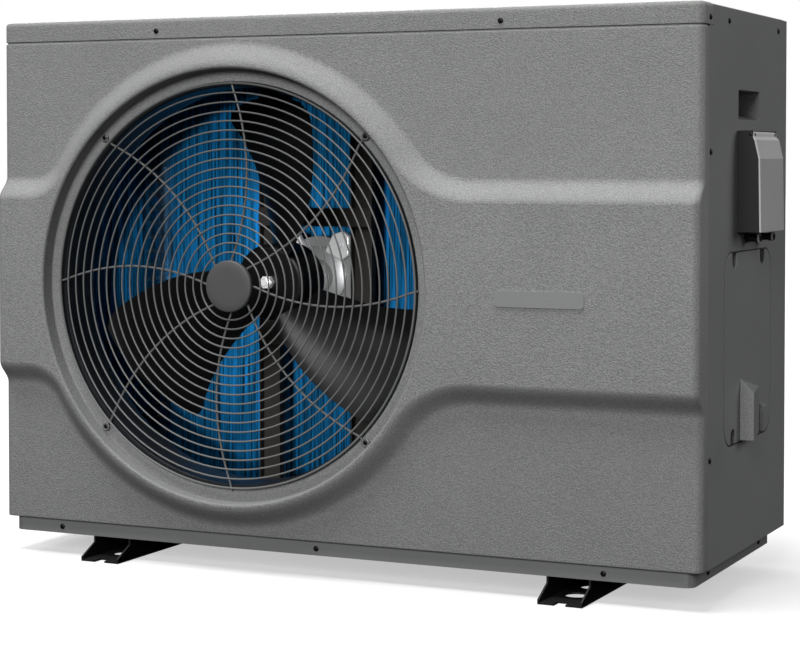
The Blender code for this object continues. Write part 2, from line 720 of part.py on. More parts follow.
def motor(parent):
    lugs = []
    steps = 48
    for index in range(steps):
        angle = 2 * math.pi * index / steps
        reach = 0.058
        for lug in (32, 148, 212, 328):
            away = abs((math.degrees(angle) - lug + 180) % 360 - 180)
            reach += 0.034 * max(0, 1 - (away / 13) ** 2)
        lugs.append((FAN_X + reach * math.cos(angle), FAN_Z + reach * math.sin(angle)))
    bore = [circle((FAN_X, FAN_Z), SHAFT_R + 2 * GAP, 12)]
    shield_back = MOTOR_FRONT + 0.013
    plate("motor_end_shield", FRONT_PLANE, lugs, bore, MOTOR_FRONT, shield_back, "cast_alloy", parent)
    length = MOTOR_BACK - shield_back - GAP
    profile = [(0, 0), (0.054, 0), (0.054, length - 0.010), (0.046, length), (0, length)]
    turned("fan_motor", profile, (FAN_X, shield_back + GAP, FAN_Z), Y_AXIS, 28, "cast_alloy", parent)


def motor_frame(parent):
    low, high = TRAY_BOTTOM + SHEET + GAP, POST_TOP
    web_back = MOTOR_FRONT - GAP
    web_front = web_back - SHEET
    front = web_back - 0.0125
    for name, side in (("motor_post_left", -1), ("motor_post_right", 1)):
        x0 = FAN_X + side * POST_SPREAD - POST_W / 2
        x1 = x0 + POST_W
        outline = [(x0, front), (x0 + SHEET, front), (x0 + SHEET, web_front), (x1 - SHEET, web_front),
                   (x1 - SHEET, front), (x1, front), (x1, web_back), (x0, web_back)]
        plate(name, PLAN_PLANE, outline, (), low, high, "post_brown", parent)
    half = POST_SPREAD + POST_W / 2
    for name, z in zip(("motor_crossbar_lower", "motor_crossbar_upper"), CROSSBAR_Z):
        block(name, (FAN_X - half, front - GAP - SHEET, z - CROSSBAR_HALF),
              (FAN_X + half, front - GAP, z + CROSSBAR_HALF), "post_brown", parent)


# ---------------------------------------------------------------- coil and machine room


def evaporator_coil(parent):
    left, rear = COIL_LEFT, COIL_REAR
    outer_r, inner_r = COIL_TURN_R, COIL_TURN_R - COIL_T
    turn = (left + outer_r, rear - outer_r)
    outline = [(left, COIL_FRONT)]
    outline += arc(turn, outer_r, 180, 90, 6)
    outline += [(COIL_RIGHT, rear), (COIL_RIGHT, rear - COIL_T)]
    outline += arc(turn, inner_r, 90, 180, 6)
    outline += [(left + COIL_T, COIL_FRONT)]
    plate("evaporator_coil", PLAN_PLANE, outline, (), TRAY_BOTTOM + SHEET + GAP, COIL_TOP,
          "fin_blue", parent)
    rod("coil_header", 0.008, (0.1775, 0.334, 0.080), 0.600, Z_AXIS, 12, "copper", parent)


def compressor(parent):
    x, y = COMPRESSOR
    low = TRAY_BOTTOM + SHEET + GAP
    foot_top = low + 0.0155
    base = foot_top + GAP
    flange = COMPRESSOR_R + 0.020
    profile = [(0, base), (flange, base), (flange, base + 0.003), (COMPRESSOR_R, base + 0.004),
               (COMPRESSOR_R, 0.290), (0.056, 0.312), (0.036, 0.326), (0, 0.330)]
    turned("compressor", profile, (x, y, 0), Z_AXIS, 24, "black_plastic", parent)
    for index in range(COMPRESSOR_FEET):
        angle = math.radians(90 + 360 / COMPRESSOR_FEET * index)
        spot = (x + 0.072 * math.cos(angle), y + 0.072 * math.sin(angle), 0)
        rubber = [(0, low), (0.013, low), (0.009, low + 0.006), (0.009, low + 0.009),
                  (0.012, foot_top), (0, foot_top)]
        turned(f"compressor_foot_{index + 1}", rubber, spot, Z_AXIS, 12, "rubber", parent)
    cap = [(0, 0), (0.018, 0), (0.018, 0.012), (0.012, 0.018), (0, 0.018)]
    turned("compressor_terminal_cap", cap, (x - 0.016, y - 0.014, 0.3306), Z_AXIS, 12,
           "black_plastic", parent)
    drum = [(0, 0.100), (0.016, 0.104), (0.025, 0.118), (0.025, 0.282), (0.016, 0.296), (0, 0.300)]
    turned("accumulator", drum, (*ACCUMULATOR, 0), Z_AXIS, 16, "black_plastic", parent)


def valves_and_pipes(parent):
    body = [(0, 0), (0.013, 0), (0.013, 0.070), (0, 0.070)]
    turned("four_way_valve", body, (0.365, 0.100, 0.430), X_AXIS, 14, "brass", parent)
    body = [(0, 0), (0.009, 0), (0.009, 0.020), (0.014, 0.022), (0.014, 0.055), (0, 0.055)]
    turned("expansion_valve", body, (0.235, 0.100, 0.345), Z_AXIS, 14, "brass", parent)
    pipe("discharge_pipe", [(0.420, 0.130, 0.329), (0.420, 0.130, 0.360), (0.415, 0.150, 0.385),
                            (0.400, 0.150, 0.415), (0.395, 0.114, 0.430)], 0.005, "copper", parent)
    pipe("suction_pipe", [(*ACCUMULATOR, 0.3005), (*ACCUMULATOR, 0.340), (0.425, 0.215, 0.400),
                          (0.425, 0.170, 0.425), (0.425, 0.1135, 0.430)], 0.006, "copper", parent)
    pipe("liquid_pipe", [(0.235, 0.1095, 0.352), (0.232, 0.130, 0.350), (0.206, 0.170, 0.346),
                         (0.203, 0.260, 0.345), (0.203, 0.302, 0.345), (0.196, 0.310, 0.345),
                         (0.1785, 0.3225, 0.345)], 0.004, "copper", parent, per_bend=3)


def water_side(parent):
    x, y = EXCHANGER
    shell = [(0, 0.090), (0.050, 0.096), (0.068, 0.116), (0.068, 0.484), (0.050, 0.504), (0, 0.510)]
    drum = turned("heat_exchanger", shell, (x, y, 0), Z_AXIS, 24, "pvc_white", parent)
    port_end = 0.345
    face = CASING_D + GAP
    for index, z in enumerate(UNION_Z):
        port = rod(f"port_tool_{index}", 0.024, (x, y + 0.040, z), port_end - y - 0.040, Y_AXIS, 16,
                   "pvc_white", parent)
        boolean(drum, 'UNION', port)
    start = port_end + GAP
    profile = [(0.020, start), (0.027, start), (0.027, face), (0.037, face), (0.037, face + 0.006),
               (0.0285, face + 0.006), (0.0285, 0.4125), (0.031, 0.4125), (0.031, UNION_END),
               (UNION_BORE, UNION_END), (UNION_BORE, 0.395), (0.020, 0.395)]
    for name, z in (("water_inlet_union", UNION_Z[0]), ("water_outlet_union", UNION_Z[1])):
        turned(name, profile, (x, 0, z), Y_AXIS, 24, "black_plastic", parent, bored=True)
    for name, z in (("inlet_union_nut", UNION_Z[0]), ("outlet_union_nut", UNION_Z[1])):
        grip = []
        for index in range(NUT_TEETH):
            angle = 2 * math.pi * index / NUT_TEETH
            radius = 0.0395 if index % 3 else 0.0370
            grip.append((radius * math.cos(angle), radius * math.sin(angle)))
        bm = plate_mesh(FRONT_PLANE, grip, [circle((0, 0), 0.0291, 24)],
                        face + 0.006 + GAP, 0.4125 - GAP)
        solid(name, bm, "black_plastic", parent, (x, 0, z))


def electrics(parent):
    bm = bmesh.new()
    low, high = (0.205, 0.030), (0.452, 0.325)
    bottom, top = ELECTRICS_Z
    floor = flat_face(bm, PLAN_PLANE, rounded(low, high, 0.004, 1), (), bottom)[0]
    rim = [bm.verts.new((*corner.co.xy, top)) for corner in floor]
    bridge(bm, floor, rim)
    sheet("electrical_box", bm, "steel", parent, -Z_AXIS)
    base = bottom + SHEET + GAP
    block("control_board", (0.215, 0.045, base), (0.355, 0.235, base + 0.004), "board_green", parent)
    rod("run_capacitor", 0.022, (0.400, 0.250, base), 0.070, Z_AXIS, 16, "cast_alloy", parent)
    teeth = []
    for index in range(6):
        y = 0.060 + 0.018 * index
        teeth += [(y, base + 0.022), (y + 0.012, base + 0.022), (y + 0.012, base + 0.014),
                  (y + 0.018, base + 0.014)]
    outline = [(0.056, base)] + [(0.056, base + 0.022)] + teeth[:-2] + [(0.166, base + 0.022), (0.166, base)]
    plate("terminal_block", SIDE_PLANE, outline, (), 0.385, 0.410, "black_plastic", parent)


# ---------------------------------------------------------------- right side fittings


def access_cover(parent):
    inner, outer = CASING_W / 2 - SHEET, CASING_W / 2 + GAP
    outline = rounded((COVER_Y[0], COVER_Z[0]), (COVER_Y[1], COVER_Z[1]), COVER_R, 5)
    cover = plate("access_cover", SIDE_PLANE, outline, (), inner, outer, "side_grey", parent)
    half, tall, deep = 0.011, 0.019, 0.004
    pockets = ((0.135, COVER_Z[1], -1), (0.262, COVER_Z[1], -1), (0.130, COVER_Z[0], 1))
    for index, (y, edge, way) in enumerate(pockets):
        for role, grow, low, high in (("back", 0.0015, inner - deep, inner + 0.0005),
                                      ("cut", 0.0, inner - deep + 0.0015, outer + 0.001)):
            round_end = arc((y, edge + way * (tall - half)), half + grow, 0, way * 180, 6)
            if role == "back":
                mouth = [(y - half - grow, edge + way * 0.0012), (y + half + grow, edge + way * 0.0012)]
            else:
                mouth = [(y - half, edge - way * 0.004), (y + half, edge - way * 0.004)]
            tool = plate(f"pocket_{role}_{index}", SIDE_PLANE, round_end + mouth, (), low, high,
                         "side_grey", parent)
            boolean(cover, 'UNION' if role == "back" else 'DIFFERENCE', tool)
    louvres = ((0.162, 0.252, 0.1890, 0.267, 0.018), (0.253, 0.288, 0.1905, 0.229, 0.007))
    for index, (front, back, low, high, proud) in enumerate(louvres):
        bm = bmesh.new()
        seat = outer - 0.0008
        tip = outer + proud
        foot_points = ((seat, front, low), (tip, front, low), (seat, back, low))
        head_points = ((seat, front, high), (tip, front, high - proud), (seat, back, high - proud))
        lower = [bm.verts.new(spot) for spot in foot_points]
        upper = [bm.verts.new(spot) for spot in head_points]
        bridge(bm, lower, upper)
        bm.faces.new(lower)
        bm.faces.new(upper)
        tool = solid(f"louvre_{index}", bm, "side_grey", parent)
        boolean(cover, 'UNION', tool)


def side_profile():
    """Front edge of the control box seen from the side, bottom to top, as (x, z)."""
    return [(0.5283, BOX_Z[0]), (0.5268, 0.5425), (0.5215, 0.5655)]


def controller(parent):
    wall = 0.002
    back = CASING_W / 2 + GAP
    ear = [(0.5192, 0.5668), (0.5196, 0.5700), (0.5200, BOX_Z[1])]
    outline = [(back, BOX_Z[0])] + side_profile() + ear + [(back, BOX_Z[1])]
    pin_hole = circle(FLAP_AXIS, 0.0015, 10)
    body = plate("controller_box", FRONT_PLANE, outline, [pin_hole], BOX_Y[0], BOX_Y[1],
                 "black_plastic", parent)
    cavity = block("cavity_tool", (back + wall, BOX_Y[0] + wall, BOX_Z[0] + wall),
                   (0.540, BOX_Y[1] - wall, 0.5655), "black_plastic", parent)
    slot = block("hinge_slot_tool", (0.5135, BOX_Y[0] + wall, 0.5650),
                 (0.540, BOX_Y[1] - wall, 0.5900), "black_plastic", parent)
    boolean(body, 'DIFFERENCE', cavity)
    boolean(body, 'DIFFERENCE', slot)
    rod("controller_hinge_pin", 0.0012, (FLAP_AXIS[0], BOX_Y[0] + 0.0002, FLAP_AXIS[1]),
        BOX_Y[1] - BOX_Y[0] - 0.0004, Y_AXIS, 10, "steel", parent)

    hinge = empty("flap_axis", (FLAP_AXIS[0], 0, FLAP_AXIS[1]), parent)
    inner = [(0.5288, BOX_Z[0]), (0.5273, 0.5425), (0.5219, 0.5660), (0.5188, 0.5695)]
    barrel = arc(FLAP_AXIS, 0.0030, -70, -350, 12)
    outer = [(0.5210, 0.5705), (0.5240, 0.5665), (0.5293, 0.5430), (0.5310, BOX_Z[0])]
    outline = [(x - FLAP_AXIS[0], z - FLAP_AXIS[1]) for x, z in inner + barrel + outer]
    pin_hole = circle((0, 0), 0.0015, 10)
    flap = plate("controller_flap", FRONT_PLANE, outline, [pin_hole], BOX_Y[0], BOX_Y[1],
                 "flap_grey", hinge)
    ear_low = 0.5675 - FLAP_AXIS[1]
    for index, (start, end) in enumerate(((BOX_Y[0] - 0.001, BOX_Y[0] + wall + GAP),
                                          (BOX_Y[1] - wall - GAP, BOX_Y[1] + 0.001))):
        tool = block(f"ear_tool_{index}", (-0.010, start, ear_low), (0.010, end, 0.010),
                     "flap_grey", hinge)
        boolean(flap, 'DIFFERENCE', tool)

    module_back = back + wall + GAP
    module_front = 0.515
    module = block("controller_module", (module_back, 0.148, 0.456), (module_front, 0.2495, 0.562),
                   "black_plastic", parent)
    for index, y in enumerate(BUTTON_Y):
        hole = rod(f"button_hole_{index}", BUTTON_R + GAP, (0.508, y, BUTTON_Z), 0.010, X_AXIS, 12,
                   "black_plastic", parent)
        boolean(module, 'DIFFERENCE', hole)
    names = ("power_button", "mode_button", "down_button", "up_button")
    for name, y in zip(names, BUTTON_Y):
        profile = [(0, 0), (BUTTON_R, 0), (BUTTON_R, 0.0070), (BUTTON_R - 0.0006, 0.0078), (0, 0.0078)]
        turned(name, profile, (0.5095, y, BUTTON_Z), X_AXIS, 12, "flap_grey", parent)


def cable_glands(parent):
    for name, y in zip(("cable_gland_front", "cable_gland_rear"), GLAND_Y):
        profile = [(0.0025, 0), (0.00675, 0), (0.00675, 0.003), (0.0043, 0.0034), (0.0043, 0.0135),
                   (0.0056, 0.0140), (0.0056, 0.0185), (0.0040, 0.0197), (0.0025, 0.0197)]
        turned(name, profile, (CASING_W / 2 + GAP, y, GLAND_Z), X_AXIS, 12, "black_plastic", parent,
               bored=True)


def main():
    clear_scene()
    origin = empty("casing_origin", (-BOX_MIDDLE_X, -BOX_MIDDLE_Y, 0))
    base_tray(origin)
    foot("foot_left", -FOOT_X, origin)
    foot("foot_right", FOOT_X, origin)
    drain_nipple(origin)
    front_panel(origin)
    top_cover(origin)
    right_side_panel(origin)
    coil_guards(origin)
    rear_service_panel(origin)
    partition_plate(origin)
    blank_badge(origin)
    fan_grille(origin)
    grille_cap(origin)
    fan_shroud(origin)
    fan(origin)
    motor(origin)
    motor_frame(origin)
    evaporator_coil(origin)
    compressor(origin)
    valves_and_pipes(origin)
    water_side(origin)
    electrics(origin)
    access_cover(origin)
    controller(origin)
    cable_glands(origin)
    bpy.context.view_layer.update()


main()
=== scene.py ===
"""Looks of the pool heat pump unit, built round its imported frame.

Lengths are metres. Shapes are drawn in the casing's own frame: x runs from the middle of the casing,
y runs back from the lower front plane and z runs up from the floor. ORIGIN carries them over to the
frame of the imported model.
"""
import json
import math

import bmesh
import bpy
from mathutils import Matrix, Vector

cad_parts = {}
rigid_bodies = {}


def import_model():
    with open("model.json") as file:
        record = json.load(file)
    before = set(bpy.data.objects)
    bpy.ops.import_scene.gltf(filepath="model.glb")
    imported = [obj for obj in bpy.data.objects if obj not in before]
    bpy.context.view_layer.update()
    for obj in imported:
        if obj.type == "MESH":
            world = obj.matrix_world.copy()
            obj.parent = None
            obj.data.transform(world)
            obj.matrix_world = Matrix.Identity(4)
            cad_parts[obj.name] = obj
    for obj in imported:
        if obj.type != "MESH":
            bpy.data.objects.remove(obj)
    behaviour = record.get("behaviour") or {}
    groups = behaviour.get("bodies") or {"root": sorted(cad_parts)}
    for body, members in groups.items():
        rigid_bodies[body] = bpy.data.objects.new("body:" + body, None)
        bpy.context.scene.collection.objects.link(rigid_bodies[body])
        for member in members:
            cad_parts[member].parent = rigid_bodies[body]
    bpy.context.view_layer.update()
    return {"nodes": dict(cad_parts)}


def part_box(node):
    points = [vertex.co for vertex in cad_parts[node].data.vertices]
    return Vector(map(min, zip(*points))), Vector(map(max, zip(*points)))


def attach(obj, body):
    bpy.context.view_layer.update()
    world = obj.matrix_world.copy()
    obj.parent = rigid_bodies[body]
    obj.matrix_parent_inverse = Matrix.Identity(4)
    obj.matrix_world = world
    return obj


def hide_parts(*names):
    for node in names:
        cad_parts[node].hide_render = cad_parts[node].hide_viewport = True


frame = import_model()

X_AXIS, Y_AXIS, Z_AXIS = Vector((1, 0, 0)), Vector((0, 1, 0)), Vector((0, 0, 1))
FRONT_PLANE = Matrix(((1, 0, 0, 0), (0, 0, 1, 0), (0, 1, 0, 0), (0, 0, 0, 1)))
SIDE_PLANE = Matrix(((0, 0, 1, 0), (1, 0, 0, 0), (0, 1, 0, 0), (0, 0, 0, 1)))
PLAN_PLANE = Matrix.Identity(4)

RELIEF = 0.019
front_low, front_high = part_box("front_panel")
ORIGIN = Vector(((front_low.x + front_high.x) / 2, front_low.y + RELIEF, 0))


def placed(node):
    """Corners of a CAD node in the casing's frame."""
    low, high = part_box(node)
    return low - ORIGIN, high - ORIGIN


def middle_of(node):
    """Middle of a CAD node's box, as x, y and z in the casing's frame."""
    return [(near + far) / 2 for near, far in zip(*placed(node))]


# Casing, from the frame
HALF_W = (front_high.x - front_low.x) / 2
PANEL_BOTTOM = front_low.z
FRONT_RETURN = placed("front_panel")[1].y
lid_low, lid_high = placed("top_cover")
CASING_TOP = lid_high.z
CASING_D = lid_high.y
LID_BOTTOM = lid_low.z
GAP = 0.0003
SEAM = LID_BOTTOM - GAP
CORNER_R = 0.01
LID_TAB_END = 0.039
LID_STEP = 0.0022
LID_EDGE_R = 0.0055
SHEET = 0.0015
SOFT_ANGLE = 40
PANEL_WALL = 0.0018
SEAM_SHADOW = 0.0018
ROLL_R = 0.0015

# Pressed relief round the fan, as in the frame's front panel
shroud_low, shroud_high = placed("fan_shroud")
FAN_X, _, FAN_Z = middle_of("fan_shroud")
FAN_CENTRE = Vector((FAN_X, 0, FAN_Z))
FAN_SPOT = (FAN_X, FAN_Z)
BAND_HALF = 0.112
CREST_R = 0.29
FILLET_LEFT = 0.07
FILLET_RIGHT = 0.13
SLOPE_RUN = 0.03
SEAT_Y = 0.001
AIR_R = 0.268
RECESS = ((0.2885, -0.019), (0.2872, -0.0186), (0.2856, -0.0175), (0.285, -0.0158), (0.2838, -0.001),
          (0.283, 0.0006), (0.2815, SEAT_Y), (0.276, SEAT_Y), (AIR_R + 0.001, SEAT_Y),
          (AIR_R, SEAT_Y + 0.001))

# Grille wires
GRILLE_RINGS = 19
GRILLE_R = 0.266
GRILLE_INNER_R = 0.0445
SPOKES = 8
SPOKE_BOW = 0.1
SPOKE_START_R = 0.014
EYE_R, EYE_SIZE = 0.2765, 0.0042
RING_Y, RING_WIRE = -0.004, 0.0012
SPOKE_Y, SPOKE_WIRE = -0.0014, 0.0015
CAP_R, CAP_EDGE_R = 0.034, 0.0024

# Fan and motor
BLADES = 3
BLADE_START, BLADE_SPAN, BLADE_SWEEP = 84.0, 42.0, 16.0
FAN_TIP_R = 0.25
HUB_R, HUB_FRONT, HUB_EDGE_R = 0.052, 0.1, 0.008
BLADE_ROOT_SPREAD = 22
BLADE_HALF_T, BLADE_CAMBER = 0.0013, 0.012
HUB_BACK = placed("fan_rotor")[1].y
SHAFT_R = 0.006
MOTOR_FRONT = placed("motor_end_shield")[0].y
LUG_ANGLES = (32, 148, 212, 328)
BOLT_ANGLES, BOLT_R = (50, 130, 230, 310), 0.06
BOLT_LUG = ((-0.024, -0.01), (-0.012, 0.015), (0.004, 0.02), (0.015, 0.012), (0.015, -0.014),
            (0.002, -0.022))
LUG_T = 0.012

# Coil
coil_low, coil_high = placed("evaporator_coil")
COIL_T = 0.025
COIL_TURN_R = 0.07
FIN_PITCH = 0.0021
FIN_HALF = 0.00008
FIN_FOLDS, FIN_SWAY = 4, 0.0011
TUBE_PITCH, TUBE_R, TUBE_LANE = 0.021, 0.0035, 0.0062
TUBE_FOOT, TUBE_STAGGER, TUBE_TURN_OUT = 0.013, 0.004, 0.0095
END_ROOM = 0.0145

# Right side
cover_low, cover_high = placed("access_cover")
COVER_Y = (cover_low.y, cover_high.y)
COVER_Z = (cover_low.z, cover_high.z)
COVER_R = 0.028
COVER_GAP = 0.0008
COVER_SLACK = 0.001
SIDE_INNER, SIDE_OUTER = HALF_W - SHEET, HALF_W + GAP
NOTCH_HALF, NOTCH_TALL, CATCH_DEPTH, CATCH_LIP = 0.0105, 0.019, 0.004, 0.0012

# The cover's own edges, and its notches: their middle, edge and way in
COVER_EDGES = [(low + COVER_SLACK, high - COVER_SLACK) for low, high in (COVER_Y, COVER_Z)]
CATCHES = ((0.135, COVER_EDGES[1][1], -1), (0.262, COVER_EDGES[1][1], -1), (0.13, COVER_EDGES[1][0], 1))
HAND_Y, HAND_Z, HAND_DEPTH = (0.15, 0.245), (0.592, 0.628), 0.043

# Cable glands and water unions
GLAND_BORE, GLAND_THREAD_R = 0.0026, 0.0044
UNION_BORE, SOCKET_R, SOCKET_FLOOR = 0.02, 0.025, 0.395
NECK_R, COLLAR_R, COLLAR_T, TAIL_R, RIM_R = 0.027, 0.037, 0.006, 0.0284, 0.031
NUT_R, NUT_TOOTH, NUT_TEETH = 0.0368, 0.0027, 12


# ---------------- drawing helpers


def bow(centre, reach, angles):
    """Points round a centre at chosen angles, in degrees. reach is the half width and half height."""
    points = []
    for angle in angles:
        turn = math.radians(angle)
        points.append((centre[0] + reach[0] * math.cos(turn), centre[1] + reach[1] * math.sin(turn)))
    return points


def around(centre, radius, degrees):
    return bow(centre, (radius, radius), [degrees])[0]


def arc(centre, radius, start, end, steps):
    """Points of an arc, both ends included. Angles are in degrees."""
    angles = [start + (end - start) * index / steps for index in range(steps + 1)]
    return bow(centre, (radius, radius), angles)


def circle(centre, radius, segments):
    return arc(centre, radius, 0, 360 - 360 / segments, segments - 1)


def rounded(low, high, radius, steps=6):
    corners = (((high[0] - radius, high[1] - radius), 0), ((low[0] + radius, high[1] - radius), 90),
               ((low[0] + radius, low[1] + radius), 180), ((high[0] - radius, low[1] + radius), 270))
    points = []
    for centre, start in corners:
        points += arc(centre, radius, start, start + 90, steps)
    return points


def rectangle(low, high):
    return [low, (high[0], low[1]), high, (low[0], high[1])]


def bridge(bm, near, far, closed=True, finish_index=0):
    for index in range(len(near) if closed else len(near) - 1):
        after = (index + 1) % len(near)
        made = bm.faces.new((near[index], near[after], far[after], far[index]))
        made.material_index = finish_index


def flat_face(bm, plane, outline, holes=(), level=0.0):
    """Fill an outline, less its holes, on a plane. Returns the loops of corner points."""
    loops = []
    for loop in (outline, *holes):
        loops.append([bm.verts.new(plane @ Vector((u, v, level))) for u, v in loop])
    edges = []
    for corners in loops:
        for index, corner in enumerate(corners):
            edges.append(bm.edges.new((corner, corners[(index + 1) % len(corners)])))
    if holes:
        bmesh.ops.triangle_fill(bm, use_beauty=True, edges=edges, normal=plane.to_3x3() @ Z_AXIS)
    else:
        bm.faces.new(loops[0])
    return loops


def prism(plane, outline, holes, low, high, bm=None):
    """A flat plate between two levels of a plane, added to bm."""
    part = bmesh.new()
    flat_face(part, plane, outline, holes, low)
    grown = bmesh.ops.extrude_face_region(part, geom=list(part.faces))
    lifted = [item for item in grown["geom"] if isinstance(item, bmesh.types.BMVert)]
    bmesh.ops.translate(part, verts=lifted, vec=plane.to_3x3() @ Vector((0, 0, high - low)))
    return joined(bm, part)


def face_out(bm):
    bmesh.ops.recalc_face_normals(bm, faces=bm.faces)


def mesh_of(name, bm):
    """Turn a bmesh into a mesh and free it."""
    mesh = bpy.data.meshes.new(name)
    bm.to_mesh(mesh)
    bm.free()
    return mesh


def in_scene(name, data):
    """A new object, linked to the scene."""
    made = bpy.data.objects.new(name, data)
    bpy.context.scene.collection.objects.link(made)
    return made


def shade(mesh, sharp_from):
    """Smooth shading, except over edges that turn by more than sharp_from degrees."""
    mesh.shade_smooth()
    mesh.set_sharp_from_angle(angle=math.radians(sharp_from))


def joined(bm, part):
    """Add one bmesh to another, or keep it as it is when there is no other."""
    if bm is None:
        return part
    face_out(part)
    spare = mesh_of("spare", part)
    bm.from_mesh(spare)
    bpy.data.meshes.remove(spare)
    return bm


def lathe(profile, centre, axis, segments, bored=False, bm=None):
    """Turn (radius, height) points about an axis. A bored profile is closed and clears the axis."""
    part = bmesh.new()
    turn = Z_AXIS.rotation_difference(axis).to_matrix()
    rings = []
    for radius, height in profile:
        if radius == 0:
            rings.append([part.verts.new(turn @ Vector((0, 0, height)) + Vector(centre))])
            continue
        ring = []
        for x, y in circle((0, 0), radius, segments):
            ring.append(part.verts.new(turn @ Vector((x, y, height)) + Vector(centre)))
        rings.append(ring)
    pairs = list(zip(rings, rings[1:]))
    if bored:
        pairs.append((rings[-1], rings[0]))
    for near, far in pairs:
        for index in range(segments):
            after = (index + 1) % segments
            if len(near) == 1:
                part.faces.new((near[0], far[index], far[after]))
            elif len(far) == 1:
                part.faces.new((near[index], far[0], near[after]))
            else:
                part.faces.new((near[index], far[index], far[after], near[after]))
    return joined(bm, part)


def tube(bm, route, radius, sides=8, closed=False, finish_index=0):
    """Sweep a circle along a route of points."""
    count = len(route)
    rings = []
    normal = None
    for index, spot in enumerate(route):
        before = route[index - 1] if closed or index else spot
        after = route[(index + 1) % count] if closed or index < count - 1 else spot
        tangent = (after - before).normalized()
        if normal is None:
            normal = tangent.orthogonal()
        normal = (normal - tangent * normal.dot(tangent)).normalized()
        side = tangent.cross(normal)
        ring = []
        for u, v in circle((0, 0), radius, sides):
            ring.append(bm.verts.new(spot + normal * u + side * v))
        rings.append(ring)
    for near, far in zip(rings, rings[1:]):
        bridge(bm, near, far, finish_index=finish_index)
    if closed:
        bridge(bm, rings[-1], rings[0], finish_index=finish_index)
    else:
        for end in (rings[0][::-1], rings[-1]):
            bm.faces.new(end).material_index = finish_index


def piece(name, bm, finishes, slot, body="casing", stands_for=(), smooth=35, soft=None):
    """Make a named object from a bmesh drawn in the casing's frame, riding on a body.

    smooth is the angle above which an edge stays sharp. soft is the width of rounded edges, and may
    be a pair with their number of segments.
    """
    bmesh.ops.translate(bm, verts=bm.verts, vec=ORIGIN)
    mesh = mesh_of(name, bm)
    shade(mesh, smooth)
    made = in_scene(name, mesh)
    for finish in finishes if isinstance(finishes, tuple) else (finishes,):
        mesh.materials.append(finish)
    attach(made, body)
    if stands_for:
        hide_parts(*stands_for)
    if soft:
        soften(made, *(soft if isinstance(soft, tuple) else (soft,)))
    return made


def flat_shading(made):
    """Keep broad flat faces evenly shaded right up to their rounded edges."""
    weighted = made.modifiers.new("flat_shading", 'WEIGHTED_NORMAL')
    weighted.keep_sharp = True


def solid(name, bm, finishes, slot, **options):
    face_out(bm)
    return piece(name, bm, finishes, slot, **options)


def shell(name, bm, finishes, slot, outside, thickness=SHEET, **options):
    """An open surface thickened inwards. outside is the way its outermost face looks."""
    face_out(bm)
    outermost = max(bm.faces, key=lambda face: face.calc_center_median().dot(outside)
                    + 0.01 * abs(face.normal.dot(outside)))
    if outermost.normal.dot(outside) < 0:
        bmesh.ops.reverse_faces(bm, faces=bm.faces)
    made = piece(name, bm, finishes, slot, **options)
    wall = made.modifiers.new("wall", 'SOLIDIFY')
    wall.thickness = thickness
    wall.offset = -1
    wall.use_even_offset = True
    flat_shading(made)
    return made


def soften(made, width, segments=2):
    """Round the edges of a piece or of a CAD node."""
    edge = made.modifiers.new("soft_edges", 'BEVEL')
    edge.width = width
    edge.segments = segments
    edge.limit_method = 'ANGLE'
    edge.angle_limit = math.radians(SOFT_ANGLE)
    edge.harden_normals = True


def fused(bm, tools, operation):
    """The bmesh after a Boolean with other bmeshes, worked out at once."""
    def loose(part):
        face_out(part)
        return in_scene("loose", mesh_of("loose", part))

    base = loose(bm)
    helpers = [loose(tool) for tool in tools]
    for helper in helpers:
        step = base.modifiers.new("step", 'BOOLEAN')
        step.operation = operation
        step.solver = 'EXACT'
        step.object = helper
    depsgraph = bpy.context.evaluated_depsgraph_get()
    result = bmesh.new()
    result.from_mesh(base.evaluated_get(depsgraph).to_mesh())
    for spare in (base, *helpers):
        mesh = spare.data
        bpy.data.objects.remove(spare, do_unlink=True)
        bpy.data.meshes.remove(mesh)
    return result


# ---------------- materials


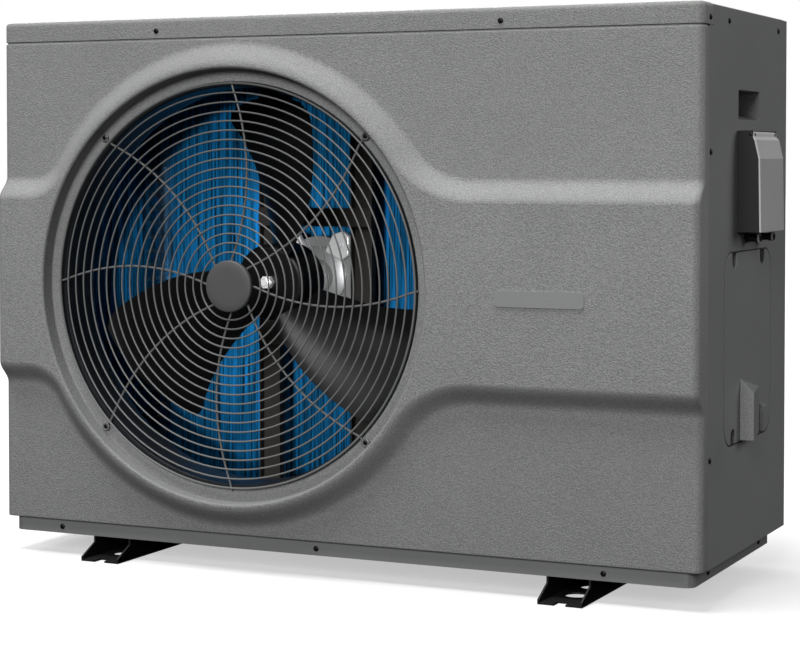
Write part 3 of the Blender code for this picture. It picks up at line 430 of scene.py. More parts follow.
class Finish:
    """A material under construction: object coordinates, noise layers and one Principled shader."""

    def __init__(self, name):
        self.material = bpy.data.materials.new(name)
        self.material.use_nodes = True
        self.tree = self.material.node_tree
        self.shader = self.tree.nodes["Principled BSDF"]
        self.coords = self.tree.nodes.new("ShaderNodeTexCoord")

    def link(self, source, target):
        self.tree.links.new(source, target)

    def noise(self, size, detail=2.0, stretch=(1, 1, 1)):
        """Noise whose features are about size metres, longer along an axis where stretch is above 1."""
        mapping = self.tree.nodes.new("ShaderNodeMapping")
        mapping.inputs["Scale"].default_value = [1 / factor for factor in stretch]
        texture = self.tree.nodes.new("ShaderNodeTexNoise")
        texture.inputs["Scale"].default_value = 1 / size
        texture.inputs["Detail"].default_value = detail
        self.link(self.coords.outputs["Object"], mapping.inputs["Vector"])
        self.link(mapping.outputs["Vector"], texture.inputs["Vector"])
        return texture.outputs["Fac"]

    def height(self):
        """Height of the surface over the floor."""
        node = self.tree.nodes.new("ShaderNodeSeparateXYZ")
        self.link(self.coords.outputs["Object"], node.inputs["Vector"])
        return node.outputs["Z"]

    def ranged(self, value, low, high, source=(0.3, 0.7)):
        """A value carried from its source range to the range from low to high."""
        node = self.tree.nodes.new("ShaderNodeMapRange")
        node.inputs["From Min"].default_value, node.inputs["From Max"].default_value = source
        node.inputs["To Min"].default_value = low
        node.inputs["To Max"].default_value = high
        self.link(value, node.inputs["Value"])
        return node.outputs["Result"]

    def maths(self, operation, first, second):
        node = self.tree.nodes.new("ShaderNodeMath")
        node.operation = operation
        for socket, value in zip(node.inputs, (first, second)):
            if isinstance(value, (int, float)):
                socket.default_value = value
            else:
                self.link(value, socket)
        return node.outputs["Value"]

    def tint(self, colour, tone):
        """Base colour times a tone that varies over the surface."""
        node = self.tree.nodes.new("ShaderNodeVectorMath")
        node.operation = 'SCALE'
        node.inputs[0].default_value = colour
        self.link(tone, node.inputs["Scale"])
        self.link(node.outputs["Vector"], self.shader.inputs["Base Color"])

    def bump(self, height, distance):
        node = self.tree.nodes.new("ShaderNodeBump")
        node.inputs["Distance"].default_value = distance
        self.link(height, node.inputs["Height"])
        self.link(node.outputs["Normal"], self.shader.inputs["Normal"])


ROUGH_SPREAD = 0.05
# Heights over which the painted shade on the lower part fades out
PAINTED_SHADE_HEIGHTS = (0.05, 0.42)


def coated(name, colour, roughness, grain, relief, speckle=0.05, patch=0.12, mottle=0.03,
           metallic=0.0, specular=0.5, stretch=(1, 1, 1), painted_shade_tone=1.0):
    """A coat or moulding: broad mottle, fine grain in tone, roughness and height.

    grain and patch are the sizes of the fine and the broad tones, speckle and mottle how far they vary.
    The lowest tone, when below 1, darkens the coat evenly towards the floor: painted shade.
    """
    made = Finish(name)
    broad = made.noise(patch, 3.0)
    fine = made.noise(grain, 2.0, stretch)
    tone = made.maths('MULTIPLY', made.ranged(broad, 1 - mottle, 1 + mottle),
                      made.ranged(fine, 1 - speckle, 1 + speckle))
    # Painted shade: the tone falls towards the floor.
    if painted_shade_tone < 1:
        tone = made.maths('MULTIPLY', tone, made.ranged(made.height(), painted_shade_tone, 1.0, PAINTED_SHADE_HEIGHTS))
    made.tint(colour, tone)
    rough = made.ranged(fine, roughness + ROUGH_SPREAD, roughness - ROUGH_SPREAD)
    made.link(rough, made.shader.inputs["Roughness"])
    made.bump(fine, relief)
    made.shader.inputs["Metallic"].default_value = metallic
    made.shader.inputs["Specular IOR Level"].default_value = specular
    return made.material


def fins_with_painted_streaks():
    """Blue coated aluminium fins: fine upright streaks of painted light and shade, and broad, faint
    patches.
    """
    made = Finish("fin_blue_coat")
    streak_and_painted_light = made.noise(0.0032, 4.0, (1, 1, 40))
    broad = made.noise(0.09, 2.0, (1, 1, 3))
    # Painted light and shade: the streaks' tone runs from near black to brighter than the coat; roughness
    # and bump follow the same streaks.
    tone = made.maths('MULTIPLY', made.ranged(streak_and_painted_light, 0.08, 1.6, (0.38, 0.66)),
                      made.ranged(broad, 0.7, 1.2))
    made.tint((0.011, 0.245, 0.57), tone)
    made.link(made.ranged(streak_and_painted_light, 0.5, 0.32), made.shader.inputs["Roughness"])
    made.shader.inputs["Metallic"].default_value = 0.15
    made.bump(streak_and_painted_light, 0.0002)
    return made.material


# The grained grey carries painted shade towards the floor.
LEATHER_GREY = coated("leather_grained_grey", (0.335, 0.34, 0.337), 0.58, 0.0017, 0.00095, 0.24, 0.1,
                      painted_shade_tone=0.77)
# A darker grey for the hand-hold and the catches: painted shade in these pockets.
POCKET_PAINTED_SHADE = coated("pocket_grey_coat", (0.2, 0.204, 0.202), 0.6, 0.0017, 0.00095, 0.24)
SMOOTH_GREY = coated("smooth_grey_coat", (0.27, 0.277, 0.274), 0.55, 0.0016, 0.00006, 0.03, 0.14, 0.035)
TRAY_GREY = coated("tray_grey_coat", (0.225, 0.23, 0.228), 0.5, 0.002, 0.0001, 0.04)
BLACK_COAT = coated("black_powder_coat", (0.014, 0.014, 0.014), 0.42, 0.0012, 0.0001, 0.15)
WIRE_COAT = coated("grille_wire_coat", (0.2, 0.203, 0.201), 0.38, 0.0009, 0.00004, 0.06)
CAP_GREY = coated("grille_cap_plastic", (0.118, 0.118, 0.118), 0.5, 0.0009, 0.00006, 0.06)
FAN_BLACK = coated("fan_gloss_plastic", (0.012, 0.012, 0.013), 0.34, 0.0014, 0.00004, 0.1, specular=0.4)
SPOKE_COAT = coated("grille_spoke_coat", (0.19, 0.192, 0.191), 0.3, 0.0009, 0.00004, 0.06)
SHROUD_BLACK = coated("shroud_plastic", (0.02, 0.022, 0.026), 0.42, 0.0012, 0.00006, 0.1)
HOUSING_BLACK = coated("housing_plastic", (0.009, 0.009, 0.009), 0.55, 0.001, 0.00008, 0.1)
UNION_BLACK = coated("union_plastic", (0.018, 0.018, 0.019), 0.34, 0.0013, 0.00006, 0.1)
FLAP_GREY = coated("flap_plastic", (0.68, 0.68, 0.68), 0.42, 0.001, 0.00005, 0.04)
KEY_GREY = coated("key_rubber", (0.42, 0.425, 0.43), 0.6, 0.0008, 0.00006, 0.05)
SYMBOL_WHITE = coated("symbol_ink", (0.78, 0.78, 0.77), 0.55, 0.001, 0.00002, 0.03)
LCD_GLASS = coated("lcd_glass", (0.05, 0.07, 0.06), 0.12, 0.004, 0.00001, 0.1, specular=0.6)
ZINC = coated("zinc_plate", (0.66, 0.665, 0.65), 0.32, 0.006, 0.00003, 0.06, metallic=1.0)
BRIGHT_STEEL = coated("bright_steel", (0.82, 0.82, 0.82), 0.24, 0.0018, 0.00002, 0.04, metallic=0.4)
CAST_ALLOY = coated("cast_alloy", (0.22, 0.223, 0.226), 0.38, 0.0013, 0.00004, 0.08, metallic=0.45)
# A lighter, less metallic copy of the cast alloy: painted highlight on the motor's lugs and bolts.
ALLOY_PAINTED_HIGHLIGHT = coated("bright_alloy", (0.56, 0.565, 0.57), 0.3, 0.0016, 0.00003, 0.05, metallic=0.25)
POST_BROWN = coated("post_primer", (0.055, 0.051, 0.045), 0.52, 0.0016, 0.00008, 0.1)
FIN_BLUE = fins_with_painted_streaks()
COPPER = coated("copper_tube", (0.7, 0.3, 0.16), 0.3, 0.0035, 0.00004, 0.1, metallic=1.0)
BRASS = coated("valve_brass", (0.69, 0.5, 0.23), 0.32, 0.0025, 0.00005, 0.08, metallic=1.0)
COMPRESSOR_BLACK = coated("compressor_enamel", (0.016, 0.016, 0.017), 0.36, 0.003, 0.00012, 0.12)
RUBBER = coated("mount_rubber", (0.02, 0.02, 0.02), 0.78, 0.001, 0.0001, 0.15)
EXCHANGER_WHITE = coated("exchanger_shell", (0.68, 0.68, 0.65), 0.42, 0.002, 0.00008, 0.04)
BOARD_GREEN = coated("circuit_board", (0.025, 0.19, 0.07), 0.4, 0.003, 0.00006, 0.2)
BADGE_SILVER = coated("badge_silver", (0.56, 0.565, 0.57), 0.34, 0.0007, 0.00002, 0.05, metallic=0.5,
                      stretch=(12, 1, 1))
SCREW_BLACK = coated("screw_black_zinc", (0.02, 0.02, 0.02), 0.3, 0.0008, 0.00003, 0.1, metallic=0.6)


# ---------------- casing


def relief_contour(offset, side):
    """Half of the raised outline moved out by offset: side 1 is above the middle, -1 below."""
    half = BAND_HALF + offset
    radius = CREST_R + offset
    spread_left = math.sqrt((CREST_R + FILLET_LEFT) ** 2 - (BAND_HALF + FILLET_LEFT) ** 2)
    spread_right = math.sqrt((CREST_R + FILLET_RIGHT) ** 2 - (BAND_HALF + FILLET_RIGHT) ** 2)
    left = (FAN_X - spread_left, BAND_HALF + FILLET_LEFT)
    right = (FAN_X + spread_right, BAND_HALF + FILLET_RIGHT)
    angle_left = math.degrees(math.atan2(left[1], -spread_left))
    angle_right = math.degrees(math.atan2(right[1], spread_right))
    edge = HALF_W - CORNER_R
    points = [(-edge, half)]
    points += arc(left, FILLET_LEFT - offset, 270, 180 + angle_left, 14)
    points += arc((FAN_X, 0), radius, angle_left, angle_right, 54)[1:-1]
    points += arc(right, FILLET_RIGHT - offset, 180 + angle_right, 270, 18)
    points.append((edge, half))
    return [(x, FAN_Z + side * z) for x, z in points]


def corner_run(side, front, setback=0.0):
    """Plan points that turn the panel's corner, from the front face back to its side edge."""
    turn = arc((HALF_W - CORNER_R, front + CORNER_R), CORNER_R - setback, -90, 0, 8)[1:]
    return [(side * x, y) for x, y in [*turn, (HALF_W - setback, FRONT_RETURN)]]


def casing_front():
    bm = bmesh.new()
    edge = HALF_W - CORNER_R

    def row(points, y):
        return [bm.verts.new((x, y, z)) for x, z in points]

    def wings(verts, y, setback=0.0):
        level = verts[0].co.z
        left = [bm.verts.new((*spot, level)) for spot in corner_run(-1, y, setback)]
        right = [bm.verts.new((*spot, level)) for spot in corner_run(1, y, setback)]
        return [verts[0]] + left, [verts[-1]] + right

    steps = 12
    profile = [(SLOPE_RUN + 0.0012, 0.0)]
    for index in range(steps + 1):
        share = index / steps
        profile.append((SLOPE_RUN * (1 - share), RELIEF * share * share * (3 - 2 * share)))
    profile.append((-0.0007, RELIEF))
    slopes = {}
    for side in (1, -1):
        slopes[side] = [(row(relief_contour(offset, side), -depth), -depth) for offset, depth in profile]
    middle = row([(-edge, FAN_Z), (edge, FAN_Z)], -RELIEF)

    # Above the field the sheet rolls back and steps in under the lid; below it only rolls back.
    head, foot = SEAM - SEAM_SHADOW, PANEL_BOTTOM + ROLL_R
    roll = (ROLL_R, ROLL_R)
    above = [(SEAM + 0.019, LID_STEP), (head, LID_STEP), (head, ROLL_R)]
    above += bow((head - ROLL_R, ROLL_R), roll, (-30, -60, -90))
    above.append((head - 2 * ROLL_R, 0.0))
    below = [(PANEL_BOTTOM + 0.004, 0.0)]
    below += bow((foot, ROLL_R), roll, (-90, -120, -150, -180))
    rows_above = [(row([(-edge, z), (edge, z)], inset), inset) for z, inset in above]
    rows_below = [(row([(-edge, z), (edge, z)], inset), inset) for z, inset in below]

    stack = [wings(verts, 0, inset) for verts, inset in rows_above]
    stack += [wings(verts, y) for verts, y in slopes[1]]
    stack.append(wings(middle, -RELIEF))
    stack += [wings(verts, y) for verts, y in reversed(slopes[-1])]
    stack += [wings(verts, 0, inset) for verts, inset in rows_below]
    for upper, lower in zip(stack, stack[1:]):
        bridge(bm, upper[0], lower[0], closed=False)
        bridge(bm, upper[1], lower[1], closed=False)

    for rows in (rows_above, rows_below):
        for (upper, _), (lower, _) in zip(rows, rows[1:]):
            bm.faces.new((upper[0], upper[1], lower[1], lower[0]))
    bm.faces.new(rows_above[-1][0] + slopes[1][0][0][::-1])
    bm.faces.new(rows_below[0][0] + slopes[-1][0][0][::-1])
    for side in (1, -1):
        for (outer, _), (inner, _) in zip(slopes[side], slopes[side][1:]):
            bridge(bm, outer, inner, closed=False)

    segments = 96
    rings = [row(circle(FAN_SPOT, radius, segments), y) for radius, y in RECESS]
    for outer, inner in zip(rings, rings[1:]):
        bridge(bm, outer, inner)
    rim = rings[0]
    upper_rim = rim[:segments // 2 + 1]
    lower_rim = [rim[0]] + rim[:segments // 2 - 1:-1]
    for side, half_rim in ((1, upper_rim), (-1, lower_rim)):
        crest = slopes[side][-1][0]
        bm.faces.new(crest + [middle[1]] + half_rim + [middle[0]])
    shell("casing_front", bm, LEATHER_GREY, "textured_grey", -Y_AXIS, PANEL_WALL,
          stands_for=("front_panel",), smooth=50)


def lid_outline(inset):
    """Plan outline of the lid: full width round the front tabs, stepped in behind them."""
    tuck = HALF_W - LID_STEP - inset
    radius = CORNER_R - inset
    points = arc((-HALF_W + CORNER_R, CORNER_R), radius, 180, 270, 10)
    points += arc((HALF_W - CORNER_R, CORNER_R), radius, 270, 360, 10)
    points += [(HALF_W - inset, LID_TAB_END), (tuck, LID_TAB_END), (tuck, CASING_D - inset)]
    points += [(-tuck, CASING_D - inset), (-tuck, LID_TAB_END), (-HALF_W + inset, LID_TAB_END)]
    return points


def casing_lid():
    bm = bmesh.new()
    steps = [(0.0006, LID_BOTTOM), (0.0, LID_BOTTOM + 0.0006), (0.0, CASING_TOP - LID_EDGE_R - 0.002)]
    steps += bow((LID_EDGE_R, CASING_TOP - LID_EDGE_R), (-LID_EDGE_R, LID_EDGE_R), range(0, 91, 15))
    steps.append((LID_EDGE_R + 0.003, CASING_TOP))
    rings = []
    for inset, z in steps:
        rings.append([bm.verts.new((x, y, z)) for x, y in lid_outline(inset)])
    for lower, upper in zip(rings, rings[1:]):
        bridge(bm, lower, upper)
    bm.faces.new(rings[-1])
    shell("casing_lid", bm, LEATHER_GREY, "textured_grey", Z_AXIS, stands_for=("top_cover",), smooth=50)


def casing_side():
    """The right side sheet, with the pressed hand-hold and the opening for the service cover."""
    bm = bmesh.new()
    face = HALF_W
    top = CASING_TOP - 0.0025
    front, tab = FRONT_RETURN + GAP, LID_TAB_END + GAP
    outline = [(front, PANEL_BOTTOM), (CASING_D, PANEL_BOTTOM), (CASING_D, top), (tab, top),
               (tab, SEAM), (front, SEAM)]
    service = rounded((COVER_Y[0] - COVER_GAP, COVER_Z[0] - COVER_GAP),
                      (COVER_Y[1] + COVER_GAP, COVER_Z[1] + COVER_GAP), COVER_R, 10)

    def mouth(grow, radius, rise=0.0, taper=0.0):
        return rounded((HAND_Y[0] - grow + taper, HAND_Z[0] - grow + rise),
                       (HAND_Y[1] + grow - taper, HAND_Z[1] + grow), radius, 4)

    loops = flat_face(bm, SIDE_PLANE, outline, [service, mouth(0.0012, 0.0035)], face)
    near = loops[2]
    levels = ((0.0005, 0.0028, 0.0, 0.0, 0.0003), (0.0, 0.0025, 0.0, 0.0, 0.0012),
              (-0.0006, 0.0025, 0.0095, 0.0008, HAND_DEPTH - 0.003),
              (-0.0028, 0.0025, 0.0105, 0.0008, HAND_DEPTH - SHEET))
    for grow, radius, rise, taper, depth in levels:
        far = [bm.verts.new((face - depth, y, z)) for y, z in mouth(grow, radius, rise, taper)]
        bridge(bm, near, far, finish_index=1)
        near = far
    floor = bm.faces.new(near)
    floor.material_index = 1
    # Walls and floor of the hand-hold take the darker grey: painted shade.
    shell("casing_side", bm, (SMOOTH_GREY, POCKET_PAINTED_SHADE), "side_grey", X_AXIS,
          stands_for=("right_side_panel",))


def wire_guard(name, node, plane, across, upright, outer, inner, border):
    """A sheet frame with a welded wire mesh inside it. across and upright are the frame's spans."""
    low, high = zip(across, upright)
    opening = rectangle((low[0] + border, low[1] + border), (high[0] - border, high[1] - border))
    bm = prism(plane, rectangle(low, high), [opening], outer, inner)
    solid(name + "_frame", bm, SMOOTH_GREY, "side_grey", stands_for=(node,), soft=0.0005)
    wires = bmesh.new()
    pitch, wire = 0.0125, 0.0009
    inward = 1 if inner > outer else -1
    layers = ((across, upright, 1.1 * wire, False), (upright, across, 3.0 * wire, True))
    for spans, others, level, flip in layers:
        start, end = spans[0] + border, spans[1] - border
        count = round((end - start) / pitch)
        for index in range(1, count):
            place = start + (end - start) * index / count
            ends = (others[0] + border * 0.7, others[1] - border * 0.7)
            depth = outer + inward * level
            spots = [(place, ends[0], depth), (place, ends[1], depth)]
            if flip:
                spots = [(v, u, w) for u, v, w in spots]
            tube(wires, [plane @ Vector(spot) for spot in spots], wire, 6)
    solid(name + "_wires", wires, BLACK_COAT, "side_grey")


def rear_and_left():
    left_low, left_high = placed("left_coil_guard")
    wire_guard("left_guard", "left_coil_guard", SIDE_PLANE, (left_low.y, left_high.y),
               (left_low.z, left_high.z), left_low.x, left_high.x, 0.028)
    rear_low, rear_high = placed("rear_coil_guard")
    wire_guard("rear_guard", "rear_coil_guard", FRONT_PLANE, (rear_low.x, rear_high.x),
               (rear_low.z, rear_high.z), rear_high.y, rear_low.y, 0.022)

    panel_low, panel_high = placed("rear_service_panel")
    outline = rectangle((panel_low.x, panel_low.z), (panel_high.x, panel_high.z))
    holes = []
    for node in ("water_inlet_union", "water_outlet_union"):
        x, _, z = middle_of(node)
        holes.append(circle((x, z), 0.0305, 48))
    bm = prism(FRONT_PLANE, outline, holes, panel_low.y, panel_high.y)
    solid("rear_panel", bm, SMOOTH_GREY, "side_grey", stands_for=("rear_service_panel",), soft=0.0004)


# ---------------- screws


def screw_mesh():
    """A pan head with a cross recess, standing on z = 0, made once and shared."""
    head = lathe([(0, 0), (0.0036, 0), (0.0037, 0.0005), (0.0034, 0.0011), (0.0026, 0.0016),
                  (0.0014, 0.0019), (0, 0.002)], (0, 0, 0), Z_AXIS, 24)
    tools = []
    for wide, tall in ((0.0022, 0.00045), (0.00045, 0.0022)):
        tools.append(prism(PLAN_PLANE, rectangle((-wide, -tall), (wide, tall)), (), 0.001, 0.003))
    mesh = mesh_of("screw", fused(head, tools, 'DIFFERENCE'))
    shade(mesh, 35)
    mesh.materials.append(SCREW_BLACK)
    return mesh


SCREW = screw_mesh()


def screw(name, spot, axis, body="casing", turn=0.0, size=1.0):
    made = in_scene(name, SCREW)
    spin = Matrix.Rotation(math.radians(turn), 4, 'Z')
    aim = Z_AXIS.rotation_difference(axis).to_matrix().to_4x4()
    made.matrix_world = Matrix.Translation(Vector(spot) + ORIGIN) @ aim @ spin @ Matrix.Scale(size, 4)
    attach(made, body)


def casing_screws():
    face, back = HALF_W, CASING_D
    tray_front = placed("base_tray")[0].y
    tray_side = placed("base_tray")[1].x
    rows = {
        "lid_front": (-Y_AXIS, [(x, 0.0, 0.713) for x in (-0.254, 0.241)]),
        "rail_front": (-Y_AXIS, [(x, tray_front, 0.038) for x in (-0.41, -0.018, 0.375)]),
        "side_top": (X_AXIS, [(face, y, 0.712) for y in (0.106, 0.336)] + [(face, 0.027, 0.712)]),
        "side_edge": (X_AXIS, [(face, 0.03, 0.551), (face, 0.03, 0.18)]),
        "rail_side": (X_AXIS, [(tray_side, y, 0.0385) for y in (0.066, 0.294)]),
        "left_top": (-X_AXIS, [(LID_STEP - face, y, 0.712) for y in (0.106, 0.336)]),
        "rail_left": (-X_AXIS, [(-tray_side, y, 0.0385) for y in (0.066, 0.294)]),
        "rear_left": (Y_AXIS, [(x, back, z) for x in (-0.485, -0.15) for z in (0.06, 0.69)]),
        "rear_right": (Y_AXIS, [(x, back, z) for x in (0.215, 0.485) for z in (0.066, 0.3, 0.685)]),
    }
    for row, (axis, spots) in rows.items():
        for index, spot in enumerate(spots):
            screw(f"screw_{row}_{index + 1}", spot, axis, turn=37 * index + 11)


# ---------------- grille


def spoke_angle(index, radius):
    """Angle of a spoke at a radius: the spokes bow clockwise between the hub and the rim."""
    reach = min(max((radius - CAP_R) / (GRILLE_R - CAP_R), 0), 1)
    swing = SPOKE_BOW * 4 * reach * (1 - reach) * (GRILLE_R - CAP_R)
    return 2 * math.pi * index / SPOKES - swing / radius


def on_disc(radius, angle, y):
    return Vector((FAN_X + radius * math.cos(angle), y, FAN_Z + radius * math.sin(angle)))


def grille():
    bm = bmesh.new()
    pitch = (GRILLE_R - GRILLE_INNER_R) / (GRILLE_RINGS - 1)
    for index in range(GRILLE_RINGS):
        radius = GRILLE_INNER_R + pitch * index
        wire = RING_WIRE * (1.2 if index == GRILLE_RINGS - 1 else 1.0)
        steps = 48 + 4 * index
        route = [on_disc(radius, 2 * math.pi * step / steps, RING_Y) for step in range(steps)]
        tube(bm, route, wire, 8, closed=True)
    for spoke in range(SPOKES):
        fixed = spoke % 2 == 1
        tip = EYE_R - EYE_SIZE if fixed else GRILLE_R + 0.0035
        route = []
        for step in range(25):
            radius = SPOKE_START_R + (tip - SPOKE_START_R) * step / 24
            route.append(on_disc(radius, spoke_angle(spoke, radius), SPOKE_Y))
        tube(bm, route, SPOKE_WIRE, 8, finish_index=1)
        if fixed:
            middle = on_disc(EYE_R, spoke_angle(spoke, EYE_R), SPOKE_Y)
            eye = [middle + Vector((x, 0, z)) for x, z in circle((0, 0), EYE_SIZE, 18)]
            tube(bm, eye, SPOKE_WIRE, 8, closed=True, finish_index=1)
            screw(f"screw_grille_{spoke}", middle + Vector((0, 0.0006, 0)), -Y_AXIS, turn=29 * spoke,
                  size=1.05)
    solid("wire_grille", bm, (WIRE_COAT, SPOKE_COAT), "grille_coat", stands_for=("fan_grille",))

    cap_low, cap_high = placed("grille_cap")
    cap_front, depth = cap_low.y, cap_high.y - cap_low.y
    profile = [(0, depth + 0.001), (0.03, depth + 0.001), (0.0322, depth), (CAP_R, 0.006)]
    profile += bow((CAP_R - CAP_EDGE_R, 0.0028), (CAP_EDGE_R, CAP_EDGE_R), (0, -20, -40, -60, -80))
    profile += [(0.024, 0.00012), (0.012, 0.00003), (0, 0)]
    solid("grille_centre_cap", lathe(profile, (FAN_X, cap_front, FAN_Z), Y_AXIS, 64), CAP_GREY,
          "cap_plastic", stands_for=("grille_cap",))


# ---------------- fan and motor


def shroud():
    """The air ring behind the grille: a flange, a straight duct and a flared rear edge."""
    depth = shroud_high.y - shroud_low.y
    inner, outer, duct = 0.262, 0.2645, 0.06
    profile = [(inner + 0.001, 0.0), (0.2815, 0), (0.2815, 0.0025), (outer + 0.003, 0.0025),
               (outer + 0.0006, 0.005), (outer, duct)]
    flare = 0.012
    reach = (-flare, depth - duct)
    profile += bow((outer + flare, duct), reach, (20, 40, 60, 78))
    profile += bow((outer + flare - 0.0022, duct), reach, (72, 56, 38, 18))
    profile += [(inner, 0.058), (inner, 0.0012)]
    solid("fan_duct", lathe(profile, (FAN_X, shroud_low.y, FAN_Z), Y_AXIS, 96, bored=True), SHROUD_BLACK,
          "fan_plastic", stands_for=("fan_shroud",))


def blade(middle):
    """One wide sickle blade: a cambered sheet swept round the hub and pitched along the axis."""
    bm = bmesh.new()
    root = HUB_R - 0.0035
    radial, chord = 22, 16
    tip_from, tip_run, tip_cut = 0.9, 0.1, 0.14
    lead, root_pitch, more_pitch = 0.014, 0.055, 0.035
    front, back = {}, {}
    for i in range(radial + 1):
        s = i / radial
        radius = root + (FAN_TIP_R - root) * s
        span = BLADE_SPAN + BLADE_ROOT_SPREAD * (1 - s) ** 2
        corner = max(0.0, (s - tip_from) / tip_run)
        span *= 1 - tip_cut * corner ** 2.5
        for j in range(chord + 1):
            t = j / chord - 0.5
            x, z = around(FAN_SPOT, radius, middle + BLADE_SWEEP * (s ** 1.4 - 0.4) + span * t)
            rise = 0.5 * (HUB_FRONT + HUB_BACK) - lead + (root_pitch + more_pitch * s) * t
            camber = BLADE_CAMBER * (1 - 4 * t * t)
            half = BLADE_HALF_T * (1 - 0.6 * abs(2 * t) ** 6)
            front[i, j] = bm.verts.new((x, rise - camber - half, z))
            back[i, j] = bm.verts.new((x, rise - camber + half, z))
    for i in range(radial):
        for j in range(chord):
            bm.faces.new((front[i, j], front[i + 1, j], front[i + 1, j + 1], front[i, j + 1]))
            bm.faces.new((back[i, j], back[i, j + 1], back[i + 1, j + 1], back[i + 1, j]))
    edge = [(i, 0) for i in range(radial)] + [(radial, j) for j in range(chord)]
    edge += [(i, chord) for i in range(radial, 0, -1)] + [(0, j) for j in range(chord, 0, -1)]
    for index, spot in enumerate(edge):
        after = edge[(index + 1) % len(edge)]
        bm.faces.new((front[spot], back[spot], back[after], front[after]))
    return bm


def fan_wheel():
    """The hub, drawn as a turned shape, with its three blades grown into it."""
    bore = SHAFT_R + GAP
    profile = [(bore, HUB_FRONT), (0.012, HUB_FRONT), (0.013, HUB_FRONT + 0.001),
               (0.02, HUB_FRONT + 0.001)]
    profile += bow((HUB_R - HUB_EDGE_R, HUB_FRONT + 0.009), (HUB_EDGE_R, HUB_EDGE_R),
                   (-90, -68, -45, -22, 0))
    profile += [(HUB_R, HUB_BACK - 0.001), (HUB_R - 0.001, HUB_BACK), (HUB_R - 0.003, HUB_BACK),
                (HUB_R - 0.004, HUB_FRONT + 0.014), (HUB_R - 0.008, HUB_FRONT + 0.011),
                (0.016, HUB_FRONT + 0.01), (0.014, HUB_BACK - 0.004), (bore, HUB_BACK - 0.004)]
    hub = lathe(profile, FAN_CENTRE, Y_AXIS, 72, bored=True)
    blades = [blade(BLADE_START + 360 / BLADES * index) for index in range(BLADES)]
    solid("fan_wheel", fused(hub, blades, 'UNION'), FAN_BLACK, "fan_plastic", body="fan",
          stands_for=("fan_rotor",), smooth=32)


def fan_nut():
    """A hexagon nut on a thin washer."""
    nut_low, nut_high = placed("fan_nut")
    washer = 0.0015
    bm = prism(FRONT_PLANE, circle(FAN_SPOT, 0.0095, 6), [circle(FAN_SPOT, SHAFT_R, 24)],
               nut_low.y + washer, nut_high.y)
    lathe([(SHAFT_R, 0), (0.0078, 0), (0.0084, washer), (SHAFT_R, washer)],
          FAN_CENTRE + Vector((0, nut_low.y, 0)), Y_AXIS, 36, bored=True, bm=bm)
    solid("fan_hex_nut", bm, BRIGHT_STEEL, "zinc_steel", body="fan", stands_for=("fan_nut",), soft=0.0004)


def fan_shaft():
    """The motor's shaft, threaded in front of the hub."""
    shaft_low, shaft_high = placed("motor_shaft")
    root = 0.0052
    thread = [(0, shaft_low.y), (0.0044, shaft_low.y), (root, shaft_low.y + 0.001)]
    for index in range(8):
        start = shaft_low.y + 0.0014 + 0.0012 * index
        thread += [(root, start), (SHAFT_R, start + 0.0004), (root, start + 0.0008)]
    thread += [(SHAFT_R, HUB_FRONT), (SHAFT_R, shaft_high.y), (0, shaft_high.y)]
    solid("fan_shaft", lathe(thread, FAN_CENTRE, Y_AXIS, 28), BRIGHT_STEEL, "zinc_steel", body="fan",
          stands_for=("motor_shaft",))


def motor_shield():
    """The motor's cast front shield with its four ears, and the bearing's boss on it."""
    outline = []
    steps, body_r, lug_reach, lug_spread = 144, 0.058, 0.034, 13
    for index in range(steps):
        angle = 360 * index / steps
        reach = body_r
        for lug in LUG_ANGLES:
            away = abs((angle - lug + 180) % 360 - 180)
            reach += lug_reach * max(0.0, 1 - (away / lug_spread) ** 2)
        outline.append(around(FAN_SPOT, reach, angle))
    bore = [circle(FAN_SPOT, SHAFT_R + 2 * GAP, 28)]
    bm = prism(FRONT_PLANE, outline, bore, MOTOR_FRONT, placed("motor_end_shield")[1].y)
    solid("motor_front_shield", bm, CAST_ALLOY, "cast_alloy", stands_for=("motor_end_shield",),
          soft=(0.0018, 3))

    boss = ((0.0075, 0.0), (0.044, 0.0), (0.044, -0.0035), (0.04, -0.0055), (0.026, -0.0075),
            (0.022, -0.012), (0.014, -0.0125), (0.0075, -0.0125))
    bm = lathe([(r, h - GAP) for r, h in boss], FAN_CENTRE + Vector((0, MOTOR_FRONT, 0)), Y_AXIS, 64,
               bored=True)
    solid("motor_bearing_boss", bm, CAST_ALLOY, "cast_alloy")


def motor_lugs():
    """Four lugs with hexagon bolts that hold the shield to the can between the posts, lighter as a painted
    highlight.
    """
    for index, degrees in enumerate(BOLT_ANGLES):
        spot = around(FAN_SPOT, BOLT_R, degrees)
        side = 1 if spot[0] > FAN_X else -1
        up = 1 if spot[1] > FAN_Z else -1
        outline = [(spot[0] + side * u, spot[1] + up * v) for u, v in BOLT_LUG]
        bm = prism(FRONT_PLANE, outline, (), MOTOR_FRONT - LUG_T, MOTOR_FRONT - GAP)
        solid(f"motor_lug_{index + 1}", bm, ALLOY_PAINTED_HIGHLIGHT, "cast_alloy", soft=(0.003, 3))
        bolt = prism(FRONT_PLANE, circle(spot, 0.006, 6), (), MOTOR_FRONT - LUG_T - 0.0055,
                     MOTOR_FRONT - LUG_T - 0.0008)
        lathe([(0, 0), (0.0078, 0), (0.0078, 0.001), (0, 0.001)],
              (spot[0], MOTOR_FRONT - LUG_T - 0.0016, spot[1]), Y_AXIS, 28, bm=bolt)
        solid(f"motor_bolt_{index + 1}", bolt, ALLOY_PAINTED_HIGHLIGHT, "zinc_steel", soft=0.0004)


